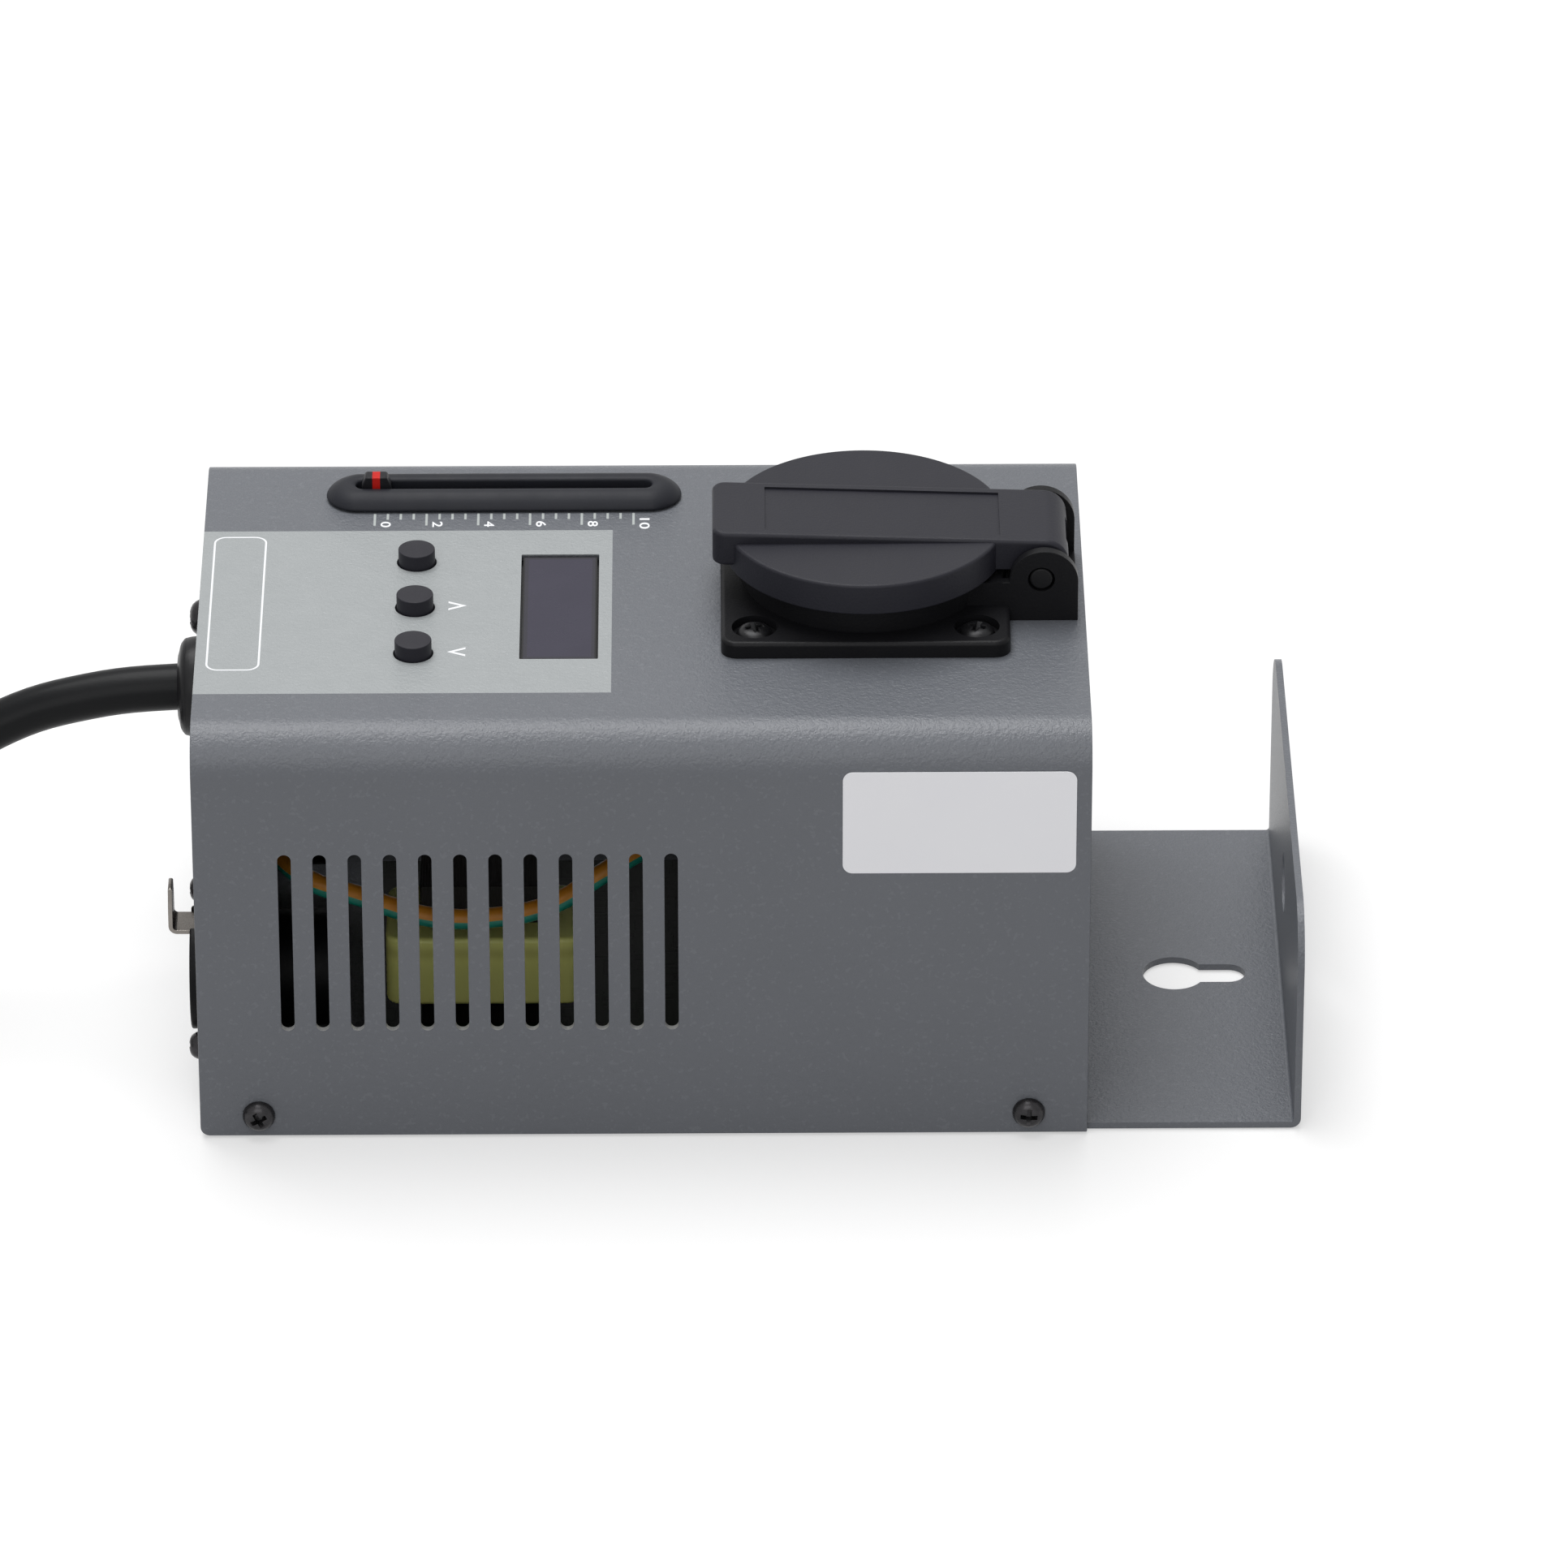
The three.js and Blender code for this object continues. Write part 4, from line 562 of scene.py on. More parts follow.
screwKinds = {  # head radius, head height, shank radius, shank length
    "case": (2.85, 2, 1.5, 6), "outlet": (3.2, 1.7, 1.5, 8), "data": (2.5, 2.3, 1.2, 5.2),
    "ground": (3.5, 3.1, 2, 12),
}
endSheet = {"outer": 76.6, "inner": 75.4, "foot": 67.6, "half": 48.5}
labelPlace = {"sides": (34.4, 74.4, 52.8, 72.75, 1.7), "thick": 0.15}
coverScrewX, coverScrewZ = (-66.8, 66.8), 4.4
outletPlace, outletPitch = (38.7, 1.0), 19.2
outletScrews = [
    (outletPlace[0] + x, outletPlace[1] + y) for y in (-outletPitch, outletPitch) for x in (-outletPitch, outletPitch)]
faderPlace = (-24.45, 34.1)
buttonX, buttonYs = -39.4, (-21.6, -5.5, 10.6)
glandHeight, studY, fuseY, fuseZ = 60.7, 24.5, 37.8, 45.5
dataYs, dataZ, dataScrewY, dataScrewZ = (-27.5, 27.5), 20, 8.5, 10.8
dataScrews = [(y + side * dataScrewY, dataZ + side * dataScrewZ) for y in dataYs for side in (1, -1)]
boards = {"control": (-53.0, 3.0, -35.5, 21.5), "power": (-49, 51, -39.5, 27.5), "inset": 5, "pillar": 2.5}


def pillars(name, low, high):
    x0, x1, y0, y1 = boards[name]
    inset = boards["inset"]
    return gathered([
        disc(x, y, boards["pillar"], low, high, sides=24)
        for x in (x0 + inset, x1 - inset) for y in (y0 + inset, y1 - inset)])


def makeCover():
    c, v, o, corner = case, vents, openings, case["footCorner"]
    left, front, back, top, sheet, bend, fit = (
        c[key] for key in ("left", "front", "back", "top", "sheet", "bend", "fit"))
    under, inner = top - sheet, bend - sheet
    cover = plate([
        (front, fit), (front, top, bend), (back, top, bend), (back, fit), (back - sheet, fit),
        (back - sheet, under, inner), (front + sheet, under, inner), (front + sheet, fit),
    ], left, c["right"], "cross", 16)
    softened(cover, 0.18, 2, 60, lambda middle: abs(abs(middle.x) - c["right"]) < 0.01)
    halfVent = v["width"] / 2
    slots = []
    for wall in (front + sheet / 2, back - sheet / 2):
        depth = wall - sheet, wall + sheet
        for k in range(v["count"]):
            x = v["x"] + k * v["pitch"]
            slot = rectangle(x - halfVent, x + halfVent, v["bottom"], v["bottom"] + v["height"], halfVent)
            slots.append(plate(slot, *depth, "long", 6))
        slots += [disc(x, coverScrewZ, o["screw"], *depth, "long", 20) for x in coverScrewX]
        x, z = left + corner, fit + corner
        slots.append(carved(
            plate(rectangle(left - 1, x, fit - 1, z), *depth, "long"),
            disc(x, z, corner, wall - 2 * sheet, wall + 2 * sheet, "long")))
    depth = under - 1, top + 1
    holes = [plate(around(*faderPlace, *o["fader"], o["fader"][1]), *depth), disc(*outletPlace, o["outlet"], *depth)]
    holes += [disc(x, y, o["screw"], *depth, sides=16) for x, y in outletScrews]
    holes += [disc(buttonX, y, o["button"], *depth, sides=48) for y in buttonYs]
    holes.append(plate(rectangle(*o["window"]), *depth, segments=3))
    cover = carved(fused(cover, pillars("control", 67.3, under + sheet / 2)), gathered(slots), gathered(holes))
    for face in cover.faces:  # bare cut metal at the lower ends of the vents; only the faces that look up get it, made pale there as painted light
        middle = face.calc_center_median()
        isCut = abs(abs(middle.y) - back + sheet / 2) < 0.2 and abs(face.normal.y) < 0.3
        face.material_index = 1 if isCut and middle.z > 20 and face.normal.z > 0.25 else 0
    piece = finishPiece(cover, "coverSheet", "grey_paint", "coverPaint", "cover")
    piece.data.materials.append(finishes["cutSteelPaintedLight"])


def cornerWaste(half, height, radius, low, high):  # what a rounded top corner leaves of an upright sheet
    tools = []
    for side in (-1, 1):
        middle = side * (half - radius)
        block = rectangle(*onSide(side, half - radius, half + 1), height - radius, height + 1)
        bend = disc(middle, height - radius, radius, low - 1, high + 1, "cross", 64)
        tools.append(carved(plate(block, low, high, "cross"), bend))
    return gathered(tools)


def makeChassis():
    c, o = case, openings
    left, sheet, high, far, half = c["left"], c["sheet"], c["panelTop"], c["reach"], c["insideHalf"]
    bend, inner, flange = c["foldBend"], c["foldBend"] - c["sheet"], c["flangeHeight"]
    chassis = plate([
        (left, high), (left, 0, bend), (far, 0, bend), (far, flange), (far - sheet, flange),
        (far - sheet, sheet, inner), (left + sheet, sheet, inner), (left + sheet, high),
    ], -half, half, "long", 6)
    lip = rectangle(left + c["lipInset"], c["right"] - c["lipInset"], 0, c["lip"])
    lips = [plate(lip, *onSide(side, half, half - sheet), "long") for side in (-1, 1)]
    chassis = fused(chassis, gathered(lips), pillars("power", sheet / 2, 7.2))
    panel, upright = (left - 1, left + sheet + 1), (far - sheet - 1, far + 1)
    holes = [
        disc(0, glandHeight, o["gland"], *panel, "cross"), disc(studY, glandHeight, o["earth"], *panel, "cross", 20),
        disc(fuseY, fuseZ, o["fuse"], *panel, "cross"),
    ]
    holes += [disc(y, dataZ, o["data"], *panel, "cross") for y in dataYs]
    holes += [disc(y, z, o["dataScrew"], *panel, "cross", 16) for y, z in dataScrews]
    holes += [
        disc(x, coverScrewZ, o["screw"], *onSide(side, half + 1, half - 2), "long", 16)
        for x in coverScrewX for side in (-1, 1)]
    holes.append(disc(0, c["flangeHoleHeight"], c["flangeHole"], *upright, "cross"))
    key, slot = c["keyX"], c["keySlot"]
    chassis = carved(
        chassis, gathered(holes), disc(key, 0, c["keyRadius"], -1, sheet + 1),
        plate(rectangle(key, key + c["keyReach"] + slot, -slot, slot, slot * 0.999), -1, sheet + 1),
        cornerWaste(half, flange, c["flangeCorner"], *upright), cornerWaste(half, high, c["bend"], *panel))
    softened(chassis, 0.15, 2, 60, lambda middle: middle.x > 77.5 and middle.z > 3)
    finishPiece(chassis, "chassisSheet", "grey_paint", "casePaint", "chassis")


def makeEndPlate():
    sheet, high = case["sheet"], case["panelTop"]
    outer, inner, foot, half = (endSheet[key] for key in ("outer", "inner", "foot", "half"))
    shape = plate([
        (foot, sheet), (outer, sheet, 1.8), (outer, high), (inner, high), (inner, 2 * sheet, 0.6), (foot, 2 * sheet),
    ], -half, half, "long", 6)
    shape = carved(shape, cornerWaste(half, high, case["bend"], inner - 1, outer + 1))
    finishPiece(shape, "endSheet", "grey_paint", "casePaint", "end_plate")


def makeScrew(name, kind, place, towards, node, turnBy=0.0):
    head, rise, shank, reach = screwKinds[kind]
    dome = [(0.995, 0.16), (0.94, 0.42), (0.84, 0.64), (0.70, 0.82), (0.52, 0.93), (0.3, 0.99)]
    profile = [
        (0, -reach), (shank * 0.7, -reach, 0.2), (shank, -reach + shank * 0.6, 0.1), (shank, 0), (head, 0, 0.1)]
    profile += [(head * share, rise * up) for share, up in dome] + [(0, rise)]
    screw = turned(profile, 40)
    reachOut, reachIn, width, floor = head * 0.60, head * 0.22, head * 0.15, rise * 0.30
    arm = [(-reachIn, floor), (reachIn, floor), (reachOut, rise + 0.2), (-reachOut, rise + 0.2)]
    screw = carved(screw, plate(arm, -width, width, "long"), plate(arm, -width, width, "cross"))
    softened(screw, 0.06, 2, 35, lambda middle: middle.z > rise * 0.6)
    angle, axis = {"up": (0, "X"), "front": (1, "X"), "back": (-1, "X"), "left": (-1, "Y")}[towards]
    turn = Matrix.Translation(place) @ Matrix.Rotation(angle * math.pi / 2, 4, axis)
    finish = "blackedScrew" if kind == "outlet" else "blackScrew"
    finishPiece(
        settled(screw, turn @ Matrix.Rotation(turnBy, 4, "Z")), name, "black_screw", finish, node, sharpFrom=40)


def labelFinish():
    finish = Finish("labelVinyl")
    patch = finish.noise(9, 3.0, 0.6)
    finish.surface(
        finish.mix(patch, (0.945, 0.945, 0.985), (0.975, 0.975, 1.0)), 0.42 + (patch - 0.5) * 0.12, 0.3,
        finish.bump(finish.noise(16, 1.0), 0.12))


def makeLabel():
    labelFinish()
    shape = plate(rectangle(*labelPlace["sides"]), case["front"] - labelPlace["thick"], case["front"], "long")
    finishPiece(shape, "sideLabel", "label", "labelVinyl", "front_label")


makeCover()
makeChassis()
makeEndPlate()
makeLabel()
for k, (x, end) in enumerate(zip(coverScrewX, ("left", "right"))):
    for side, turnBy in (("front", 0.5), ("back", 0.2)):
        place = (x, case[side], coverScrewZ)
        makeScrew(f"coverScrew{side.title()}{k + 1}", "case", place, side, f"cover_screw_{side}_{end}", turnBy + k)
print("case folded")

outlet = {
    "flange": 25, "flangeRise": 3, "flangeCorner": 2.8, "edge": 0.8, "collar": 21.4, "collarRise": 8,
    "well": 19.75, "cup": 21.75, "cupBottom": 55.5, "cupFloor": 2, "wireHole": 5.5, "blockHalf": 12,
    "blockTop": 87, "pinX": 69.2, "pinZ": 87.6, "ear": 5.95, "earX": 69.65, "earTop": 93.05, "earThickness": 1.8,
    "pin": 2, "nest": 0.35, "sweep": 6.8, "counterbore": 3.95, "shank": 1.8, "seat": 80.9,
}
lid = {
    "radius": 24.55, "bottom": 87.8, "top": 93.5, "barHalf": 9.5, "barTop": 95.65, "barTopAtHinge": 93.6,
    "noseX": 12.3, "noseLength": 4.2, "noseBottom": 89.1, "noseRound": 2.3, "heelCorner": 4, "sink": 1,
    "knuckle": 4.8, "armX": 61.1, "armBottom": 88.3, "trim": (21.4, 62.1), "trimHalf": 7.6, "trimDepth": 0.4,
    "pocketHalf": 4, "pocketRise": 3.6, "pocketDrop": 6.8, "recess": 22.5, "recessDepth": 1.9,
}
contacts = {
    "insert": 19.45, "floor": 69.9, "spacing": 9.5, "hole": 2.6, "well": 3.4, "notch": (15.6, 21), "notchHalf": 2.8,
    "clip": (18.5, 19.3), "clipHalf": 2.5, "clipRise": 12, "nose": 1.6, "foot": 2.2, "tube": (2.5, 3.1),
    "tubeLength": 8.5, "seal": (15.5, 22.2, 87.8, 89.7), "pinHalf": 11.85,
}
spring = {"wire": 0.4, "radius": 3, "curls": 5, "width": 6.25, "steps": 28}


def makeHousing():
    v, top = outlet, case["top"]
    x, y = outletPlace
    move, low = shifted(x, y), v["cupBottom"]
    flange = plate(around(x, y, v["flange"], v["flange"], v["flangeCorner"]), top, top + v["flangeRise"])
    softened(flange, v["edge"], 4, 60, lambda middle: middle.z > top + 2.9)
    blockEnd = v["pinX"] - v["sweep"]
    earStart, earFrom, earTo = blockEnd - v["sweep"], v["earX"] - v["ear"], v["earX"] + v["ear"]
    ears = []
    for side in (-1, 1):
        outer = y + side * v["blockHalf"]
        ear = plate([
            (earStart, top), (earTo, top), (earTo, v["earTop"], v["ear"]), (earFrom, v["earTop"], v["ear"]),
            (earFrom, v["blockTop"]), (earStart, v["blockTop"]),
        ], *sorted((outer, outer - side * v["earThickness"])), "long", 16)
        ears.append(softened(ear, 0.25, 2, 40, lambda middle: middle.z > top + 1))
    webHalf = v["blockHalf"] - v["earThickness"] / 2
    collarTop = top + v["collarRise"]
    collar = turned([(0, top), (v["collar"], top), (v["collar"], collarTop, 0.4), (0, collarTop)], 96, 4, move)
    cup = turned([(0, low), (v["cup"], low, 0.8), (v["cup"], top + 1), (0, top + 1)], 96, 4, move)
    block = plate(rectangle(x, blockEnd, y - v["blockHalf"], y + v["blockHalf"], 0.02), top, v["blockTop"], segments=1)
    web = plate(rectangle(blockEnd - 1, earTo, y - webHalf, y + webHalf), top, top + 1.6)
    housing = fused(flange, collar, cup, block, web, *ears)
    floor = low + v["cupFloor"]
    well = turned([(0, floor), (v["well"], floor), (v["well"], top + 9), (0, top + 9)], 96, 2, move)
    bores = [disc(a, b, v["counterbore"], v["seat"], top + 4, sides=48) for a, b in outletScrews]
    shanks = [disc(a, b, v["shank"], top - 1, v["seat"] + 0.5, sides=20) for a, b in outletScrews]
    housing = carved(
        housing, well, disc(x, y, v["wireHole"], low - 1, low + 3, sides=40), gathered(shanks), gathered(bores),
        disc(v["pinX"], v["pinZ"], v["pin"] + v["nest"], y - 13, y + 13, "long", 40))
    finishPiece(housing, "outletHousing", "outlet_plastic", "outletPlastic", "outlet_housing")


def makeLid():
    v, hinge = lid, outlet
    x, y = outletPlace
    pinX, pinZ, nose, knee = hinge["pinX"], hinge["pinZ"], v["noseX"], v["knuckle"]
    heel, under, noseEnd = pinX + knee, v["top"] - v["sink"], nose + v["noseLength"]
    width = y - v["barHalf"], y + v["barHalf"]
    shape = turned([
        (0, v["bottom"]), (v["radius"], v["bottom"], 0.3), (v["radius"], v["top"], 0.55), (0, v["top"])],
        128, 4, shifted(x, y))
    bar = plate([
        (nose, v["noseBottom"]), (noseEnd, v["noseBottom"]), (noseEnd, under), (v["armX"], under),
        (v["armX"], v["armBottom"]), (pinX - knee, v["armBottom"]), (pinX - knee, pinZ), (heel, pinZ),
        (heel, v["barTopAtHinge"], v["heelCorner"]), (nose, v["barTop"]),
    ], *width, "long", 8)
    ends = plate(rectangle(nose - 1, nose + 4, y - 11, y + 11), 88, 97)
    rounding = plate(rectangle(nose, nose + 9, *width, v["noseRound"]), 87, 98, segments=8)
    bar = carved(bar, carved(ends, rounding))
    softened(bar, 0.75, 4, 50, lambda middle: (
        middle.z > 93.3 or middle.x > 70 or (middle.z < 89.2 and middle.x < nose + 4.1)))
    knuckle = disc(pinX, pinZ, knee, *width, "long", 64)
    softened(knuckle, 0.6, 4, 50)
    slope = (v["barTopAtHinge"] - v["barTop"]) / (heel - nose)
    start, end = v["trim"]
    level = [v["barTop"] + slope * (place - nose) - v["trimDepth"] for place in (start, end)]
    trim = plate(
        [(start, level[0]), (end, level[1]), (end, v["barTop"] + 1), (start, v["barTop"] + 1)],
        y - v["trimHalf"], y + v["trimHalf"], "long")
    pocket = plate(
        rectangle(pinX - knee - 1, heel + 1, pinZ - v["pocketDrop"], pinZ + v["pocketRise"]),
        y - v["pocketHalf"], y + v["pocketHalf"], "long")
    shape = carved(
        fused(shape, bar, knuckle), trim, pocket,
        disc(pinX, pinZ, hinge["pin"] + hinge["nest"], y - 11, y + 11, "long", 40),
        disc(x, y, v["recess"], v["bottom"] - 1, v["bottom"] + v["recessDepth"], sides=96))
    finishPiece(shape, "outletLid", "outlet_plastic", "lidPlastic", "outlet_lid", body="lid")


def makeOutletInside():
    v, c = outlet, contacts
    x, y = outletPlace
    move = shifted(x, y)
    low, floor = v["cupBottom"] + v["cupFloor"], c["floor"]
    insert = turned([(0, low), (c["insert"], low), (c["insert"], floor, 0.3), (0, floor)], 96, 3, move)
    holes, wells, notches = [], [], []
    for side in (-1, 1):
        holes.append(disc(x, y + side * c["spacing"], c["hole"], low - 1, floor + 1, sides=32))
        wells.append(disc(x, y + side * c["spacing"], c["well"], low - 1, floor - 1.5, sides=32))
        ends = sorted(x + side * end for end in c["notch"])
        notches.append(plate(rectangle(*ends, y - c["notchHalf"], y + c["notchHalf"]), low - 1, floor + 1))
    insert = carved(insert, gathered(holes), gathered(wells), gathered(notches))
    finishPiece(insert, "contactCarrier", "outlet_plastic", "outletPlastic", "outlet_insert")
    (inner, outer), nose, high = c["clip"], c["nose"], floor + c["clipRise"]
    outline = [
        (inner - c["foot"], low), (outer, low, 0.4), (outer, high - 2 * nose, 0.5),
        (outer - nose, high - nose, 0.5), (outer, high), (inner, high), (inner - nose, high - nose, 0.5),
        (inner, high - 2 * nose, 0.5), (inner, low + 0.8), (inner - c["foot"], low + 0.8)]
    for side, name in ((-1, "left"), (1, "right")):
        corners = [(x + side * point[0], *point[1:]) for point in outline]
        clip = plate(corners, y - c["clipHalf"], y + c["clipHalf"], "long", 4)
        finishPiece(clip, f"earthSpring{name.title()}", "bright_steel", "brightSteel", f"earth_clip_{name}")
    (inner, outer), high = c["tube"], floor - 1.8
    bottom = high - c["tubeLength"]
    outline = [
        (0, bottom), (outer, bottom, 0.3), (outer, high, 0.15), (inner, high, 0.2), (inner, bottom + 0.6, 0.2),
        (0, bottom + 0.6)]
    for side, name in ((-1, "front"), (1, "back")):
        sleeve = turned(outline, 40, 2, shifted(x, y + side * c["spacing"]))
        finishPiece(sleeve, f"contactTube{name.title()}", "brass", "brassMetal", f"contact_sleeve_{name}")
    inner, outer, low, high = c["seal"]
    seal = turned([(inner, low, 0.5), (outer, low, 0.5), (outer, high, 0.5), (inner, high, 0.5)], 96, 4, move)
    finishPiece(seal, "lidSeal", "gasket", "gasketRubber", "lid_gasket", body="lid")
    hinge, half = shifted(v["pinX"], y, v["pinZ"]), c["pinHalf"]
    pin = turned(
        [(0, -half), (v["pin"], -half, 0.35), (v["pin"], half, 0.35), (0, half)], 40, 4,
        hinge @ Matrix.Rotation(math.pi / 2, 4, "X"))
    finishPiece(pin, "hingeRod", "outlet_plastic", "smallPlastic", "hinge_pin")
    coil = bmesh.new()
    ring = bmesh.ops.create_circle(
        coil, segments=12, radius=spring["wire"], matrix=shifted(spring["radius"], -spring["width"] / 2))
    steps = spring["curls"] * spring["steps"]
    bmesh.ops.spin(
        coil, geom=ring["verts"] + coil.edges[:], cent=(0, 0, 0), axis=(0, 1, 0),
        dvec=(0, spring["width"] / steps, 0), angle=-2 * math.pi * spring["curls"], steps=steps)
    bmesh.ops.holes_fill(coil, edges=coil.edges[:])
    finishPiece(settled(coil, hinge), "returnSpring", "bright_steel", "brightSteel", "lid_spring")


makeHousing()
makeLid()
makeOutletInside()
for k, (x, y) in enumerate(outletScrews):
    makeScrew(f"flangeScrew{k + 1}", "outlet", (x, y, outlet["seat"]), "up", f"outlet_screw_{k + 1}", 0.3 + 0.9 * k)
print("outlet built")

fader = {  # the section runs from the outer foot to the slot, as shares of the way in and of the rise
    "half": 31.4, "radius": 6, "rise": 2.9, "slotHalf": 26.1, "slotRadius": 1.5, "segments": 48,
    "section": [
        (1, 0), (1, 0.45), (1, 0.78), (0.98, 0.88), (0.92, 0.95), (0.76, 1), (0.58, 0.98), (0.36, 0.84),
        (0.14, 0.58), (0, 0.24), (0, 0)],
    "knobX": -46.95, "knobHalf": 2.6, "knobTop": 1.9, "knobDepth": 1.25, "knobRise": 4.6, "cap": 3.7,
    "stem": (0.7, 1.15), "stemFoot": 72.3, "line": 0.68,
}
button = {"foot": 70.5, "stem": 1.5, "skirt": (77, 78), "skirtRadius": 4.2, "radius": 3.2, "rise": 2.7}
window = {
    "lens": (-20.8, -7.8, -23.5, 12.9, 0.2), "rim": (-22.3, -6.3, -25, 14.4), "bottom": 77.5, "rimTop": 78.3,
    # clear: the lens area inside the painted shadow line round its edge
    "lensTop": 79.2, "glass": (-19.8, -8.7, -22.5, 11.9), "clear": (-20.45, -8.15, -23.15, 12.55),
}


def makeBezel():
    v, top = fader, case["top"]
    bm = bmesh.new()
    loops = []
    halfStep = Matrix.Rotation(math.pi / v["segments"], 4, "Z")
    for inward, up in v["section"]:
        radius = v["radius"] - (v["radius"] - v["slotRadius"]) * inward
        run = v["half"] - (v["half"] - v["slotHalf"]) * inward - radius
        ring = bmesh.ops.create_circle(
            bm, segments=v["segments"], radius=radius, matrix=shifted(z=top + v["rise"] * up) @ halfStep)
        for side in (-1, 1):
            picked = [vert for vert in ring["verts"] if vert.co.x * side > 0]
            bmesh.ops.translate(bm, vec=(side * run, 0, 0), verts=picked)
        loops.append(list({edge for vert in ring["verts"] for edge in vert.link_edges}))
    for k, loop in enumerate(loops):
        bmesh.ops.bridge_loops(bm, edges=loop + loops[(k + 1) % len(loops)])
    shape = settled(bm, shifted(*faderPlace))
    piece = finishPiece(shape, "faderBezel", "bezel", "bezelRubber", "fader_bezel", sharpFrom=50)
    rounder = piece.modifiers.new("rounder", "SUBSURF")
    rounder.levels = rounder.render_levels = 2
    piece.modifiers.move(1, 0)


def knobFinish():
    finish = Finish("knobPlastic")
    isLine = (abs(finish.axis(0) - fader["knobX"]) < fader["line"]) * (finish.axis(2) > case["top"] - 0.2)
    patch = finish.noise(3, 3.0, 0.6)
    black = finish.mix(patch, (0.009, 0.009, 0.011), (0.015, 0.015, 0.018))
    red = finish.mix(patch, (0.52, 0.010, 0.007), (0.62, 0.018, 0.012))
    finish.surface(
        finish.mix(isLine, black, red), 0.42 + (patch - 0.5) * 0.12, 0.18,
        finish.bump(finish.noise(0.25, 2.0, 0.6), 0.015))


def makeKnob():
    knobFinish()
    v = fader
    x, y = v["knobX"], faderPlace[1]
    high = case["top"] + v["knobRise"]
    low, middle = high - v["cap"], high - v["cap"] / 2
    half, crown, (stemX, stemY) = v["knobHalf"], v["knobTop"], v["stem"]
    cap = plate([
        (x - half, low), (x + half, low), (x + half, middle, 0.35), (x + crown, high, 0.35),
        (x - crown, high, 0.35), (x - half, middle, 0.35),
    ], y - v["knobDepth"], y + v["knobDepth"], "long", 4)
    softened(cap, 0.18, 3, 60)
    stem = plate(rectangle(x - stemX, x + stemX, v["stemFoot"], low + v["cap"] / 2), y - stemY, y + stemY, "long")
    finishPiece(fused(cap, stem), "faderKnob", "black_plastic", "knobPlastic", "fader_knob", body="fader")


def makeButtons():
    v = button
    (low, high), top, radius, skirt = v["skirt"], case["top"] + v["rise"], v["radius"], v["skirtRadius"]
    profile = [
        (0, v["foot"]), (v["stem"], v["foot"], 0.2), (v["stem"], low), (radius, low), (skirt, low, 0.1),
        (skirt, high, 0.1), (radius, high), (radius, top, 0.16), (0, top)]
    for k, (y, name) in enumerate(zip(buttonYs, ("front", "middle", "back"))):
        cap = turned(profile, 64, 4, shifted(buttonX, y))
        finishPiece(cap, f"buttonCap{k + 1}", "button", "buttonPlastic", f"button_{name}", body=f"{name}_button")


def windowFinish():
    finish = Finish("displayWindow")
    x, y = finish.axis(0), finish.axis(1)
    masks = []
    for x0, x1, y0, y1 in (window["clear"], window["glass"]):
        masks.append((x > x0) * (x < x1) * (y > y0) * (y < y1))
    haze = finish.noise(8, 3.0, 0.6)
    borderAndPaintedShadow = finish.mix(haze, (0.018, 0.017, 0.027), (0.023, 0.021, 0.033))
    # outside the clear area a near-black band round the lens edge is painted shadow of the gap between lens and cover
    borderAndPaintedShadow = finish.mix(masks[0], (0.003, 0.003, 0.004), borderAndPaintedShadow)
    glass = finish.mix(haze, (0.025, 0.022, 0.042), (0.031, 0.028, 0.050))
    finish.surface(
        finish.mix(masks[1], borderAndPaintedShadow, glass), 0.20 + haze * 0.14, 0.32, finish.bump(finish.noise(5, 1.0), 0.01))


def makeWindow():
    windowFinish()
    v = window
    lens = plate(rectangle(*v["lens"]), v["bottom"], v["lensTop"], segments=3)
    softened(lens, 0.12, 2, 60, lambda middle: middle.z > v["lensTop"] - 0.1)
    rim = plate(rectangle(*v["rim"]), v["bottom"], v["rimTop"])
    finishPiece(fused(rim, lens), "displayLens", "window", "displayWindow", "display_window")


makeBezel()
makeKnob()
makeButtons()
makeWindow()
print("controls set")

printing = {
    "lift": 0.02, "tickX": -47.1, "tickPitch": 2.277, "ticks": 21, "tickWidth": 0.42, "tickFrom": 28.05,
    "longTo": 23.8, "shortTo": 25.95, "digits": 6, "digitY": 24.2, "digitBeside": 1.95, "digitTall": 1.8,
    "digitWide": 1.95, "pairWide": 3.8, "digitHeavy": 0.014, "legend": (-75.1, -65.8, -27.4, 19.9),
    "legendCorner": 2.2, "legendLine": 0.34, "chevronX": -32, "chevronTall": 3.2, "chevronWide": 3.1,
    "chevronLine": 0.55, "chevronYs": ((-5.0, 1), (-21.2, -1)),
}
inks = {
    "tickInk": ((0.40, 0.43, 0.42), (0.50, 0.53, 0.52)), "whiteInk": ((0.84, 0.85, 0.88), (0.94, 0.95, 0.97)),
}


def inkFinish(name, dark, light):
    finish = Finish(name)
    patch = finish.noise(0.6, 3.0, 0.7)
    finish.surface(finish.mix(patch, dark, light), 0.5 + (patch - 0.5) * 0.2, 0.3)


def makeDigit(label, wide, tall, place):
    text = bpy.data.curves.new("digit", "FONT")
    text.body = label
    text.offset = printing["digitHeavy"]
    text.align_x, text.align_y = "CENTER", "CENTER"
    digit = drawn(text)
    xs, ys = [vert.co.x for vert in digit.verts], [vert.co.y for vert in digit.verts]
    bmesh.ops.translate(digit, vec=(-(max(xs) + min(xs)) / 2, -(max(ys) + min(ys)) / 2, 0), verts=digit.verts)
    bmesh.ops.scale(digit, vec=(wide / (max(xs) - min(xs)), tall / (max(ys) - min(ys)), 1), verts=digit.verts)
    raised(digit, printing["lift"])
    return settled(digit, Matrix.Translation(place) @ Matrix.Rotation(-math.pi / 2, 4, "Z"))


